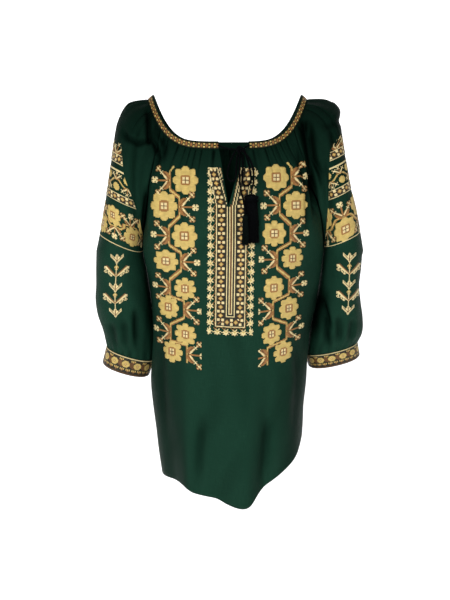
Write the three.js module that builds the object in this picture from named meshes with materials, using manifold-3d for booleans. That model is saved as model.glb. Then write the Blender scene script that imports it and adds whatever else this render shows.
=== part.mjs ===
// A gathered raglan blouse, worn with no wearer in it: front with a V slit, back, two full sleeves,
// a neckband, two cuffs and a tie cord with two tassels at the slit.
// Millimetres, +Z up, front towards -Y. The origin is on the shoulder line, midway between the shoulders.
import * as THREE from 'three';
import { mergeVertices } from 'three/addons/utils/BufferGeometryUtils.js';
import Module from 'manifold-3d';

const wasm = await Module();
wasm.setup();

// ---------------------------------------------------------------- driving dimensions
const panelWall = 1.6;
const bandWall = 2.4;
const seamGap = 0.3;
const armpitDrop = 232;
const raglanAngle = 55; // degrees from the front or back middle to each raglan seam, round the neckband
const shoulderDrop = { right: -2, left: 8 }; // how far each shoulder's top is below the neckband's peak line

const neck = { middleX: -2, halfWidth: 128, front: 88, back: 82, frontZ: -66, backZ: -69, peakZ: 11, flat: 4.7 };
const neckband = { height: 12, openFrom: -6.3, openTo: 15, standFront: 0.2, standSide: 1.1 };
const slit = { middle: 0.027, leftTop: 0.08, rightTop: 0.078, endDrop: 152 };
const cuffHeight = { sleeveRight: 25, sleeveLeft: 31 };
const cuffTaper = 0.03;
const cord = { radius: 1.5, sides: 8 };

// The body below the armpits: half widths to -X (left here) and to +X (right), as seen from the front, and
// depths before and behind its middle line, which is at bodyMiddleY. squareness 2 is an ellipse, more is squarer.
const bodyMiddleY = -12;
const bodyRings = [
  { drop: 232, left: 140, right: 155, front: 113, back: 107, squareness: 2.45 },
  { drop: 262, left: 134, right: 152, front: 111, back: 106, squareness: 2.4 },
  { drop: 292, left: 129.5, right: 148, front: 109, back: 105, squareness: 2.35 },
  { drop: 322, left: 126.5, right: 143.5, front: 108, back: 104, squareness: 2.3 },
  { drop: 352, left: 125.3, right: 137, front: 107, back: 104, squareness: 2.3 },
  { drop: 380, left: 125, right: 133.5, front: 107, back: 104, squareness: 2.3 },
  { drop: 410, left: 127, right: 131, front: 108, back: 105, squareness: 2.3 },
  { drop: 450, left: 129.5, right: 129.5, front: 110, back: 106, squareness: 2.3 },
  { drop: 490, left: 126.5, right: 126, front: 111, back: 107, squareness: 2.3 },
  { drop: 530, left: 122, right: 125, front: 111, back: 108, squareness: 2.3 },
  { drop: 570, left: 118, right: 122, front: 111, back: 108, squareness: 2.3 },
  { drop: 645, left: 108, right: 112, front: 108, back: 105, squareness: 2.3 },
];

// How far the hem hangs below the shoulder line, by the angle from the front middle towards +X.
const hemLine = [
  { angle: -180, drop: 612 },
  { angle: -135, drop: 614 },
  { angle: -90, drop: 609 },
  { angle: -60, drop: 604 },
  { angle: -40, drop: 604 },
  { angle: -28, drop: 615 },
  { angle: -12, drop: 622 },
  { angle: 0, drop: 633 },
  { angle: 11, drop: 638 },
  { angle: 18, drop: 634 },
  { angle: 25, drop: 618 },
  { angle: 33, drop: 604 },
  { angle: 47, drop: 583 },
  { angle: 68, drop: 553 },
  { angle: 90, drop: 541 },
  { angle: 120, drop: 574 },
  { angle: 150, drop: 602 },
  { angle: 180, drop: 612 },
];

// The sleeves below the armpit: where the inner and outer lines stand from the middle of the blouse, the
// depths before and behind middleY, and how far the ring rises for each millimetre outwards.
const sleeveRings = {
  right: [
    { drop: 232, inner: 158, outer: 219, front: 50, back: 80, middleY: -12, lift: 0 },
    { drop: 262, inner: 155.5, outer: 218, front: 50, back: 78, middleY: -9, lift: 0.03 },
    { drop: 292, inner: 152, outer: 216.5, front: 50, back: 74, middleY: -4, lift: 0.06 },
    { drop: 322, inner: 146, outer: 221, front: 51, back: 68, middleY: 4, lift: 0.1 },
    { drop: 352, inner: 138.8, outer: 226, front: 52, back: 61, middleY: 11, lift: 0.14 },
    { drop: 380, inner: 135.5, outer: 226.5, front: 50, back: 55, middleY: 16, lift: 0.18 },
    { drop: 402, inner: 132.5, outer: 219, front: 44, back: 46, middleY: 21, lift: 0.24 },
  ],
  left: [
    { drop: 232, inner: 143, outer: 217, front: 50, back: 80, middleY: -12, lift: 0 },
    { drop: 262, inner: 137.5, outer: 218.5, front: 51, back: 78, middleY: -9, lift: 0.03 },
    { drop: 292, inner: 133, outer: 220, front: 51, back: 74, middleY: -4, lift: 0.07 },
    { drop: 322, inner: 129, outer: 222.5, front: 51, back: 68, middleY: 4, lift: 0.12 },
    { drop: 352, inner: 127, outer: 220, front: 51, back: 61, middleY: 11, lift: 0.18 },
    { drop: 382, inner: 127, outer: 212, front: 49, back: 54, middleY: 16, lift: 0.24 },
    { drop: 411, inner: 128.5, outer: 207, front: 43, back: 45, middleY: 21, lift: 0.3 },
  ],
};

// The cloth between the neckband and the armpit level runs in curves with two handles each: one leaves the
// neckband and one rises from the armpit ring. place: 0 front middle, 1 front raglan seam, 2 shoulder top,
// 3 back raglan seam, 4 back middle. out is away from the middle of the blouse, fore is towards +Y.
const yokeHandles = [
  { place: 0, neckOut: 0, neckFore: -22, neckUp: -27, ringOut: 0, ringFore: -5, ringUp: 72 },
  { place: 0.5, neckOut: 9, neckFore: -25, neckUp: -29, ringOut: -3, ringFore: -9, ringUp: 78 },
  { place: 0.8, neckOut: 13, neckFore: -29, neckUp: -38, ringOut: -5, ringFore: -32, ringUp: 92 },
  { place: 1, neckOut: 8, neckFore: -28, neckUp: -45, ringOut: -7, ringFore: -62, ringUp: 96 },
  { place: 1.25, neckOut: 28, neckFore: -35, neckUp: -20, ringOut: 2, ringFore: -32, ringUp: 128 },
  { place: 1.5, neckOut: 42, neckFore: -35, neckUp: -6, ringOut: -10, ringFore: -12, ringUp: 165 },
  { place: 1.75, neckOut: 62, neckFore: -18, neckUp: 1, ringOut: -40, ringFore: -4, ringUp: 218 },
  { place: 2, neckOut: 72, neckFore: 0, neckUp: 3, ringOut: -57, ringFore: 2, ringUp: 236 },
  { place: 2.25, neckOut: 62, neckFore: 20, neckUp: 1, ringOut: -40, ringFore: 4, ringUp: 218 },
  { place: 2.5, neckOut: 42, neckFore: 38, neckUp: -6, ringOut: -10, ringFore: 4, ringUp: 165 },
  { place: 2.75, neckOut: 28, neckFore: 36, neckUp: -20, ringOut: 2, ringFore: 26, ringUp: 128 },
  { place: 3, neckOut: 8, neckFore: 28, neckUp: -45, ringOut: -7, ringFore: 60, ringUp: 96 },
  { place: 3.2, neckOut: 13, neckFore: 24, neckUp: -36, ringOut: -5, ringFore: 26, ringUp: 92 },
  { place: 3.5, neckOut: 9, neckFore: 20, neckUp: -26, ringOut: -3, ringFore: 6, ringUp: 80 },
  { place: 4, neckOut: 0, neckFore: 16, neckUp: -25, ringOut: 0, ringFore: 3, ringUp: 75 },
];

// Soft gathers under the neckband and above the cuffs: how many, how high, and how far they fade.
const gathers = {
  front: { count: 15, depth: 1.7, fade: 42 },
  back: { count: 15, depth: 1.7, fade: 42 },
  sleeve: { count: 7, depth: 1.6, fade: 38 },
  cuff: { count: 12, depth: 1.5, fade: 30 },
};

// Long soft folds that open towards the hem, by their angle round the body.
const hemFolds = [
  { angle: -150, spread: 11, depth: 7 },
  { angle: -112, spread: 10, depth: 6 },
  { angle: -52, spread: 9, depth: -5 },
  { angle: -33, spread: 7, depth: 5 },
  { angle: -8, spread: 8, depth: -4 },
  { angle: 13, spread: 8, depth: 6 },
  { angle: 31, spread: 7, depth: -6 },
  { angle: 56, spread: 11, depth: 5 },
  { angle: 105, spread: 11, depth: -5 },
  { angle: 140, spread: 12, depth: 7 },
  { angle: 178, spread: 11, depth: -5 },
];

// Single creases of the yoke: across is the share of the panel's width where each starts and ends, down the
// share of the yoke's length, spread its half width as a share of the panel, depth is outwards.
const creases = {
  front: [
    { acrossStart: 0.93, acrossEnd: 0.935, downStart: 0.1, downEnd: 0.95, spread: 0.018, depth: -5 },
    { acrossStart: 0.87, acrossEnd: 0.885, downStart: 0.05, downEnd: 0.8, spread: 0.025, depth: 4 },
    { acrossStart: 0.12, acrossEnd: 0.08, downStart: 0.1, downEnd: 0.8, spread: 0.03, depth: -3 },
  ],
  sleeveRight: [
    { acrossStart: 0.12, acrossEnd: 0.11, downStart: 0.06, downEnd: 0.85, spread: 0.03, depth: -7 },
    { acrossStart: 0.2, acrossEnd: 0.19, downStart: 0.08, downEnd: 0.95, spread: 0.04, depth: 5 },
    { acrossStart: 0.5, acrossEnd: 0.5, downStart: 0.42, downEnd: 0.88, spread: 0.2, depth: -7.5 },
    { acrossStart: 0.5, acrossEnd: 0.5, downStart: 0.82, downEnd: 1.04, spread: 0.2, depth: 3 },
  ],
  sleeveLeft: [
    { acrossStart: 0.86, acrossEnd: 0.89, downStart: 0.1, downEnd: 0.75, spread: 0.035, depth: -5 },
    { acrossStart: 0.78, acrossEnd: 0.82, downStart: 0.1, downEnd: 0.95, spread: 0.05, depth: 4 },
  ],
};

// How finely each panel is divided: columns near the neckband, in the middle and at the lower edge.
const columns = { bodyTop: 60, body: 30, sleeveTop: 28, sleeve: 20, sleeveEnd: 36, band: 84, cuff: 36 };
const yokeSteps = [0, 0.035, 0.08, 0.14, 0.21, 0.3, 0.41, 0.54, 0.68, 0.81, 0.91, 1];
const bodySteps = [1.09, 1.2, 1.32, 1.44, 1.56, 1.68, 1.79, 1.9, 2];
const sleeveSteps = [1.15, 1.32, 1.5, 1.66, 1.8, 1.91, 1.97, 2];
const gatherRows = 5; // rows of the yoke that keep the fine columns
const probe = 0.004; // step of the differences that give a normal

const colours = { cloth: 0x123f2f, band: 0xb08a3e, cord: 0x14171f };

// ---------------------------------------------------------------- small helpers
const vec = (x, y, z) => new THREE.Vector3(x, y, z);
const rad = THREE.MathUtils.degToRad;
const mirror = (p) => vec(-p.x, p.y, p.z);

/** One row of a table read at any place: each column is a smooth cubic through the rows' values. */
function readTable(rows, key, place) {
  const last = rows.length - 1;
  const at = THREE.MathUtils.clamp(place, rows[0][key], rows[last][key]);
  let i = 0;
  while (i < last - 1 && at > rows[i + 1][key]) i += 1;
  const a = rows[i];
  const b = rows[i + 1];
  const before = rows[Math.max(i - 1, 0)];
  const after = rows[Math.min(i + 2, last)];
  const span = b[key] - a[key];
  const t = (at - a[key]) / span;
  const read = {};
  for (const name of Object.keys(a)) {
    const slopeA = ((b[name] - before[name]) / (b[key] - before[key])) * span;
    const slopeB = ((after[name] - a[name]) / (after[key] - a[key])) * span;
    const rise = b[name] - a[name];
    read[name] = a[name] + t * (slopeA + t * (3 * rise - 2 * slopeA - slopeB + t * (slopeA + slopeB - 2 * rise)));
  }
  return read;
}

/** Distance from a ring's middle to the cloth, in the direction of an angle (0 is the front, 90 is +X). */
function ringReach(angle, right, left, front, back, squareness) {
  const across = Math.abs(Math.sin(angle) / (Math.sin(angle) < 0 ? left : right));
  const deep = Math.abs(Math.cos(angle) / (Math.cos(angle) > 0 ? front : back));
  return (across ** squareness + deep ** squareness) ** (-1 / squareness);
}

/** A soft bump of height 1, one spread wide to each side. */
const bump = (distance, spread) => Math.exp(-((distance / spread) ** 2));

// ---------------------------------------------------------------- the smooth form of the cloth
/** The seam line where the gathered cloth meets the neckband; angle in degrees, 0 at the front middle. */
function neckSeam(angle) {
  const s = Math.sin(rad(angle));
  const c = Math.cos(rad(angle));
  const low = c > 0 ? neck.frontZ : neck.backZ;
  const y = -c * (c > 0 ? neck.front : neck.back);
  return vec(neck.middleX + neck.halfWidth * s, y, low + (neck.peakZ - low) * Math.abs(s) ** neck.flat);
}

/** The body below the armpits: fall 0 is the armpit level, 1 the hem. */
function bodyTube(angle, fall) {
  const turned = ((((angle + 180) % 360) + 360) % 360) - 180;
  const drop = armpitDrop + (readTable(hemLine, 'angle', turned).drop - armpitDrop) * fall;
  const ring = readTable(bodyRings, 'drop', drop);
  const a = rad(turned);
  const folded = hemFolds.reduce((sum, fold) => {
    const away = Math.min(Math.abs(turned - fold.angle), 360 - Math.abs(turned - fold.angle));
    return sum + fold.depth * bump(away, fold.spread);
  }, 0);
  const opened = THREE.MathUtils.smoothstep(fall, 0.25, 1.15);
  const reach = ringReach(a, ring.right, ring.left, ring.front, ring.back, ring.squareness) + folded * opened;
  return vec(reach * Math.sin(a), bodyMiddleY - reach * Math.cos(a), -drop);
}

/** A sleeve below the armpit, on the +X side: share 0 is its inner line, a quarter is the front. */
function sleeveTube(rings, share, fall) {
  const from = rings[0].drop;
  const ring = readTable(rings, 'drop', from + (rings[rings.length - 1].drop - from) * fall);
  const a = rad(360 * share - 90);
  const half = (ring.outer - ring.inner) / 2;
  const reach = ringReach(a, half, half, ring.front, ring.back, 2.2);
  const out = reach * Math.sin(a);
  return vec((ring.outer + ring.inner) / 2 + out, ring.middleY - reach * Math.cos(a), -ring.drop + ring.lift * out);
}

/** A curve of the yoke from the neckband's seam to a point of the armpit rings; t runs 0 to 1. */
function yokeCurve(place, side, top, bottom, t, lowered = side < 0 ? shoulderDrop.left : shoulderDrop.right) {
  const h = readTable(yokeHandles, 'place', place);
  const lower = lowered * bump(place - 2, 0.6);
  const handleA = vec(side * h.neckOut, h.neckFore, h.neckUp - lower).add(top);
  const handleB = vec(side * h.ringOut, h.ringFore, h.ringUp - lower).add(bottom);
  return new THREE.CubicBezierCurve3(top, handleA, handleB, bottom).getPoint(t);
}

/** The front: share 0 is its edge on the -X side, 1 on the +X side; down 0 to 1 yoke, 1 to 2 body. */
function frontForm(share, down) {
  const m = 2 * share - 1;
  if (down > 1) return bodyTube(90 * m, down - 1);
  return yokeCurve(Math.abs(m), Math.sign(m), neckSeam(raglanAngle * m), bodyTube(90 * m, 0), down);
}

/** The back: share 0 is its edge on the +X side, so it reads left to right from behind. */
function backForm(share, down) {
  const m = 1 - 2 * share;
  const angle = 180 - 90 * m;
  if (down > 1) return bodyTube(angle, down - 1);
  return yokeCurve(4 - Math.abs(m), Math.sign(m), neckSeam(180 - raglanAngle * m), bodyTube(angle, 0), down);
}

/** A sleeve as on the +X side: share 0 is its front raglan seam, 1 its back one. */
function sleeveForm(rings, middleX, lowered, share, down) {
  if (down > 1) return sleeveTube(rings, share, down - 1);
  const top = neckSeam(raglanAngle + (180 - 2 * raglanAngle) * share);
  top.x += middleX - neck.middleX;
  return yokeCurve(1 + 2 * share, 1, top, sleeveTube(rings, share, 0), down, lowered);
}

/** The sleeve on the +X side. */
function sleeveFormRight(share, down) {
  return sleeveForm(sleeveRings.right, neck.middleX, shoulderDrop.right, share, down);
}

/** The sleeve on the -X side is made as the other one, from its own rings, and mirrored into place. */
function sleeveFormLeft(share, down) {
  return mirror(sleeveForm(sleeveRings.left, -neck.middleX, shoulderDrop.left, 1 - share, down));
}

// The four panels in their order round the neckband, from left to right as seen from outside.
// neckFrom is the angle of each one's first edge at the neckband, neckSpan how far it reaches round it.
const bodySpan = 2 * raglanAngle;
const sleeveSpan = 180 - bodySpan;
const panels = {
  front: { form: frontForm, next: 'sleeveRight', before: 'sleeveLeft', neckFrom: -raglanAngle, neckSpan: bodySpan },
  sleeveRight: {
    form: sleeveFormRight, next: 'back', before: 'front', neckFrom: raglanAngle, neckSpan: sleeveSpan, closed: true,
  },
  back: {
    form: backForm, next: 'sleeveLeft', before: 'sleeveRight', neckFrom: 180 - raglanAngle, neckSpan: bodySpan,
  },
  sleeveLeft: {
    form: sleeveFormLeft, next: 'front', before: 'back', neckFrom: 180 + raglanAngle, neckSpan: sleeveSpan, closed: true,
  },
};

/** A panel's form just past its edges: the next panel in the yoke, the rest of its own ring below. */
function formAround(name, share, down) {
  const panel = panels[name];
  if (share >= 0 && share <= 1) return panel.form(share, down);
  const wrapped = share < 0 ? share + 1 : share - 1;
  if (down >= 1 && panel.closed) return panel.form(wrapped, down);
  if (down >= 1) return panels[name === 'front' ? 'back' : 'front'].form(wrapped, down);
  return panels[share < 0 ? panel.before : panel.next].form(wrapped, down);
}

// ---------------------------------------------------------------- folds and gathers
/** Height of the yoke's single creases at a place of a panel. */
function creaseHeight(name, share, down) {
  return (creases[name] ?? []).reduce((sum, crease) => {
    const along = (down - crease.downStart) / (crease.downEnd - crease.downStart);
    if (along <= 0 || along >= 1) return sum;
    const middle = THREE.MathUtils.lerp(crease.acrossStart, crease.acrossEnd, along);
    return sum + crease.depth * Math.sin(Math.PI * along) * bump(share - middle, crease.spread);
  }, 0);
}

/** Height of a row of uneven gathers, at a share of the panel's width. */
function gatherWave(share, count) {
  const uneven = 0.75 + 0.25 * Math.sin(17 * share + 1.3);
  return uneven * Math.cos(2 * Math.PI * count * share + 0.7 * Math.sin(9 * share));
}

/** How far the cloth stands from its smooth form; fromNeck and fromEnd are lengths along the cloth. */
function foldHeight(name, share, down, fromNeck, fromEnd) {
  const kind = gathers[name] ?? gathers.sleeve;
  const seamEase = Math.sin(Math.PI * THREE.MathUtils.clamp(share, 0, 1)) ** 0.5;
  const held = 0.4 + 0.6 * Math.min(1, fromNeck / 9);
  const top = kind.depth * held * Math.exp(-fromNeck / kind.fade) * gatherWave(share, kind.count);
  const low = gathers.cuff.depth * Math.exp(-fromEnd / gathers.cuff.fade) * gatherWave(share, gathers.cuff.count);
  const atCuff = panels[name].closed && down > 1 ? low * Math.min(1, fromEnd / 6 + 0.4) : 0;
  return seamEase * (top + creaseHeight(name, share, down) + atCuff);
}

// ---------------------------------------------------------------- walls
/** A point of the neckband: angle round the neck in degrees, height above the seam. */
function bandPoint(angle, height) {
  const s = Math.sin(rad(angle));
  const c = Math.cos(rad(angle));
  const inward = THREE.MathUtils.lerp(neckband.standFront, neckband.standSide, Math.abs(s) ** 3);
  const stand = vec(-s * inward, c * inward, 1).normalize();
  return neckSeam(angle).addScaledVector(stand, height);
}

/** The direction in which the neckband is thick: across it, away from the neck. */
function bandNormal(angle) {
  const across = bandPoint(angle + 0.3, 0).sub(bandPoint(angle - 0.3, 0));
  return across.cross(bandPoint(angle, 1).sub(bandPoint(angle, 0))).normalize();
}

/** A cuff's own directions at a share of its ring: its middle, the way it hangs and the way it is thick. */
function cuffFrame(form, share) {
  const before = share < probe ? 1 - probe : share - probe;
  const across = form((share + probe) % 1, 2).sub(form(before, 2)).normalize();
  const middle = form(0, 2).add(form(0.5, 2)).multiplyScalar(0.5);
  const inner = form(0, 2).sub(form(0.5, 2)).normalize();
  const foot = vec(0, 1, 0).cross(inner).normalize();
  if (foot.z > 0) foot.negate();
  return { middle, foot, normal: foot.clone().cross(across).normalize() };
}

/** One vertex of a panel's middle surface, with the direction its wall is thick in. */
function panelVertex(name, share, down, endDown) {
  const panel = panels[name];
  const inYoke = down < 1;
  const seam = share === 0 || share === 1;
  const west = formAround(name, share - probe, down);
  const east = formAround(name, share + probe, down);
  let point = panel.form(share, down);
  if (seam && inYoke) point.add(panels[share ? panel.next : panel.before].form(1 - share, down)).multiplyScalar(0.5);
  const north = formAround(name, share, Math.max(down - probe, 0));
  const south = formAround(name, share, Math.min(down + probe, endDown));
  const across = east.sub(west).normalize();
  const along = south.sub(north).normalize();
  let normal = along.clone().cross(across).normalize();
  if (down === 0) normal = bandNormal(panel.neckFrom + panel.neckSpan * share);
  if (down === endDown && panel.closed) normal = cuffFrame(panel.form, share).normal;
  const fromNeck = down < 1 ? lengthDown(panel.form, share, 0, down) : 1000;
  const fromEnd = down > 1 ? lengthDown(panel.form, share, down, endDown) : 1000;
  point.addScaledVector(normal, foldHeight(name, share, down, fromNeck, fromEnd));
  const sewnEdge = seam && (inYoke || !panel.closed);
  if (sewnEdge) point.addScaledVector(across, (share ? -1 : 1) * (seamGap / 2));
  if (down === 0) point.addScaledVector(along, seamGap / 2);
  if (down === endDown && panel.closed) point.addScaledVector(along, -seamGap / 2);
  return { point, normal };
}

/** Length of a panel's line between two places down it, in a few straight steps. */
function lengthDown(form, share, from, to) {
  const steps = 6;
  let length = 0;
  let last = form(share, from);
  for (let i = 1; i <= steps; i += 1) {
    const next = form(share, from + ((to - from) * i) / steps);
    length += next.distanceTo(last);
    last = next;
  }
  return length;
}

/** Triangles between two rows of vertices, each a list of { id, share } in order of share. */
function stitch(triangles, upper, lower) {
  let i = 0;
  let j = 0;
  while (i < upper.length - 1 || j < lower.length - 1) {
    const upperNext = i < upper.length - 1 ? upper[i + 1].share : Infinity;
    const lowerNext = j < lower.length - 1 ? lower[j + 1].share : Infinity;
    if (upperNext <= lowerNext + 1e-9) {
      triangles.push([upper[i].id, lower[j].id, upper[i + 1].id]);
      i += 1;
    } else {
      triangles.push([upper[i].id, lower[j].id, lower[j + 1].id]);
      j += 1;
    }
  }
}

/** A closed wall round a middle surface: both faces, and a strip along every free edge. */
function wallGeometry(vertices, triangles, wall) {
  const count = vertices.length;
  const positions = [];
  for (const half of [wall / 2, -wall / 2]) {
    for (const v of vertices) positions.push(...v.point.clone().addScaledVector(v.normal, half).toArray());
  }
  const index = [];
  const edges = new Map();
  for (const [a, b, c] of triangles) {
    index.push(a, b, c, a + count, c + count, b + count);
    for (const [p, q] of [[a, b], [b, c], [c, a]]) {
      if (!edges.delete(`${q},${p}`)) edges.set(`${p},${q}`, [p, q]);
    }
  }
  for (const [p, q] of edges.values()) index.push(q, p, p + count, q, p + count, q + count);
  const geometry = new THREE.BufferGeometry();
  geometry.setAttribute('position', new THREE.Float32BufferAttribute(positions, 3));
  geometry.setIndex(index);
  return geometry;
}

/** Even shares of a width, from 0 to 1. */
const evenShares = (count) => Array.from({ length: count + 1 }, (_, i) => i / count);

/** Adds a row of a panel's vertices and gives back their ids with the shares they were made at. */
function addRow(vertices, name, shares, down, places = shares) {
  return shares.map((share, i) => {
    vertices.push(panelVertex(name, places[i], down, 2));
    return { id: vertices.length - 1, share };
  });
}

function meshOf(name, geometry, colour, roughness = 0.85) {
  const material = new THREE.MeshStandardMaterial({ color: colour, roughness, metalness: 0 });
  const mesh = new THREE.Mesh(geometry, material);
  mesh.name = name;
  return mesh;
}

// ---------------------------------------------------------------- the pieces
/** Where the slit's two edges stand at a place down the front: shares of the front's width. */
function slitShares(down, endDown) {
  const open = Math.max(0, 1 - down / endDown);
  const middle = 0.5 + slit.middle * open;
  return [middle - slit.leftTop * open, middle + slit.rightTop * open];
}

/** The place down the front where the slit ends. */
function slitEnd() {
  let down = 0;
  while (frontForm(0.5, down).z > -slit.endDrop) down += probe;
  return down;
}

/** The front panel: a wall from the neckband to the hem, split by the V slit above the slit's end. */
function frontPanel() {
  const end = slitEnd();
  const steps = [...yokeSteps, end].sort((a, b) => a - b).filter((s) => s === end || Math.abs(s - end) > 0.03);
  const vertices = [];
  const triangles = [];
  let above = null;
  [...steps, ...bodySteps].forEach((down, i) => {
    const shares = evenShares(i < gatherRows ? columns.bodyTop : columns.body);
    const middle = (shares.length - 1) / 2;
    if (down < end) {
      const [leftEdge, rightEdge] = slitShares(down, end);
      const left = shares.slice(0, middle + 1);
      const right = shares.slice(middle);
      const leftRow = addRow(vertices, 'front', left, down, left.map((s) => s * 2 * leftEdge));
      const rightPlaces = right.map((s) => 1 - (1 - s) * 2 * (1 - rightEdge));
      const rightRow = addRow(vertices, 'front', right, down, rightPlaces);
      if (above) stitch(triangles, above.left, leftRow);
      if (above) stitch(triangles, above.right, rightRow);
      above = { left: leftRow, right: rightRow };
      return;
    }
    const row = addRow(vertices, 'front', shares, down);
    if (above.whole) stitch(triangles, above.whole, row);
    else {
      stitch(triangles, above.left, row.slice(0, middle + 1));
      stitch(triangles, above.right, row.slice(middle));
    }
    above = { whole: row };
  });
  return meshOf('front', wallGeometry(vertices, triangles, panelWall), colours.cloth);
}

/** The back panel: the same wall with no slit. */
function backPanel() {
  const vertices = [];
  const triangles = [];
  let above = null;
  [...yokeSteps, ...bodySteps].forEach((down, i) => {
    const row = addRow(vertices, 'back', evenShares(i < gatherRows ? columns.bodyTop : columns.body), down);
    if (above) stitch(triangles, above, row);
    above = row;
  });
  return meshOf('back', wallGeometry(vertices, triangles, panelWall), colours.cloth);
}

/** A sleeve: open along both raglan seams above the armpit, and a closed tube below it. */
function sleevePanel(name, panelName) {
  const vertices = [];
  const triangles = [];
  let above = null;
  const steps = [...yokeSteps, ...sleeveSteps];
  steps.forEach((down, i) => {
    const fine = i < gatherRows ? columns.sleeveTop : columns.sleeve;
    const count = i >= steps.length - 4 ? columns.sleeveEnd : fine;
    let row;
    if (down < 1) row = addRow(vertices, panelName, evenShares(count), down);
    else {
      row = addRow(vertices, panelName, evenShares(count).slice(0, -1), down);
      row.push({ id: row[0].id, share: 1 });
    }
    if (above) stitch(triangles, above, row);
    above = row;
  });
  return meshOf(name, wallGeometry(vertices, triangles, panelWall), colours.cloth);
}

/** The neckband: a doubled strip round the neck, open at the slit. */
function neckBand() {
  const vertices = [];
  const triangles = [];
  const from = neckband.openTo;
  const to = 360 + neckband.openFrom;
  const rows = [0, 0.5, 1].map((share) => evenShares(columns.band).map((s) => {
    const angle = from + (to - from) * s;
    const height = seamGap / 2 + (neckband.height - seamGap / 2) * share;
    vertices.push({ point: bandPoint(angle, height), normal: bandNormal(angle) });
    return { id: vertices.length - 1, share: s };
  }));
  stitch(triangles, rows[2], rows[1]);
  stitch(triangles, rows[1], rows[0]);
  return meshOf('neckband', wallGeometry(vertices, triangles, bandWall), colours.band);
}

/** A cuff: a doubled ring that carries on from the sleeve's lower edge. */
function cuffRing(name, panelName) {
  const { form } = panels[panelName];
  const height = cuffHeight[panelName];
  const vertices = [];
  const triangles = [];
  const rows = [seamGap / 2, height].map((drop) => {
    const row = evenShares(columns.cuff).slice(0, -1).map((s) => {
      const { middle, foot, normal } = cuffFrame(form, s);
      const point = form(s, 2).sub(middle).multiplyScalar(1 - cuffTaper * (drop / height)).add(middle);
      vertices.push({ point: point.addScaledVector(foot, drop), normal });
      return { id: vertices.length - 1, share: s };
    });
    return [...row, { id: row[0].id, share: 1 }];
  });
  stitch(triangles, rows[0], rows[1]);
  return meshOf(name, wallGeometry(vertices, triangles, bandWall), colours.band);
}

// ---------------------------------------------------------------- the tie at the slit
const knot = { x: 17, y: -97.4, z: -66.4, radius: 6.6 };
const cordStep = 4.5; // length of one step of a cord's tube

// The cords' routes, as points they pass through: from each end of the neckband to the knot, two hanging
// bow loops, and two free ends that end in tassels.
const cordRoutes = {
  tie_cross_right: [[30.5, -88.6, -60], [28, -93.4, -61.5], [24.6, -96.4, -63.4]],
  tie_cross_left: [[-17, -88.8, -60], [-11, -92.4, -62.5], [-3, -95, -64.8], [4, -96.2, -66], [9.6, -96.8, -65.8]],
  tie_loop_right: [
    [24.4, -98.6, -69], [27, -103, -78], [31.4, -111.4, -93], [33.4, -119.6, -107], [33.2, -122.4, -114],
    [30.8, -124.4, -118.6], [26.8, -125.2, -120.6], [22.8, -124.6, -118.6], [20.6, -122.8, -114],
    [20.4, -119.6, -107], [21.2, -112.6, -93], [21, -105.2, -82], [20.4, -99.4, -73.6],
  ],
  tie_loop_left: [
    [9.6, -98.6, -69.4], [5.2, -103.6, -78], [0.2, -110, -90], [-2, -116, -101], [-1.8, -119, -107],
    [0.6, -121.2, -111.6], [4.6, -122.2, -113.6], [8.6, -121.6, -111.6], [10.8, -119.4, -107],
    [11, -116.2, -101], [11.6, -110.2, -90], [12.6, -104, -80.6], [13.4, -99.4, -73.6],
  ],
  tie_end_right: [
    [22.8, -104, -70.6], [29.8, -109.4, -78], [35.4, -115, -90], [37.4, -119.8, -102], [37.4, -124.6, -114],
    [35.2, -128.4, -123.6], [33.8, -129.9, -131.9],
  ],
  tie_end_left: [
    [16.8, -103.4, -72.4], [16.6, -109.2, -84], [16, -117.2, -98], [16.6, -126, -114], [19, -133.6, -130],
    [22.8, -139.4, -146], [24.6, -142, -161],
  ],
};

/** A cord's tube: an eight-sided section carried along a smooth curve through its route. */
function cordTube(name, route) {
  const path = new THREE.CatmullRomCurve3(route.map((p) => vec(...p)), false, 'centripetal');
  const steps = Math.max(3, Math.round(path.getLength() / cordStep));
  const section = new THREE.Shape();
  for (let i = 0; i < cord.sides; i += 1) {
    const a = (2 * Math.PI * i) / cord.sides;
    const [x, y] = [cord.radius * Math.cos(a), cord.radius * Math.sin(a)];
    if (i) section.lineTo(x, y);
    else section.moveTo(x, y);
  }
  const geometry = new THREE.ExtrudeGeometry(section, { steps, extrudePath: path, bevelEnabled: false });
  return meshOf(name, geometry, colours.cord);
}

/** A solid of manifold-3d from a closed geometry. */
function solidOf(geometry) {
  const bare = geometry.clone();
  bare.deleteAttribute('normal');
  bare.deleteAttribute('uv');
  const merged = mergeVertices(bare, 1e-4);
  const vertProperties = new Float32Array(merged.attributes.position.array);
  return new wasm.Manifold(new wasm.Mesh({ numProp: 3, vertProperties, triVerts: new Uint32Array(merged.index.array) }));
}

function geometryOf(solid) {
  const { vertProperties, triVerts } = solid.getMesh();
  const geometry = new THREE.BufferGeometry();
  geometry.setAttribute('position', new THREE.BufferAttribute(new Float32Array(vertProperties), 3));
  geometry.setIndex(new THREE.BufferAttribute(new Uint32Array(triVerts), 1));
  return geometry;
}

/** The tassel's head: a small bell turned about the cord, flatter fore and aft. */
function tasselHead(radius) {
  const outline = [[0, -1], [radius * 0.42, -1], [radius * 0.75, -4], [radius * 0.8, -9], [radius, -12], [0, -12]];
  const geometry = new THREE.LatheGeometry(outline.map(([r, z]) => new THREE.Vector2(r, z)).reverse(), 10);
  return geometry.rotateX(Math.PI / 2).scale(1, 0.75, 1);
}

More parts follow.
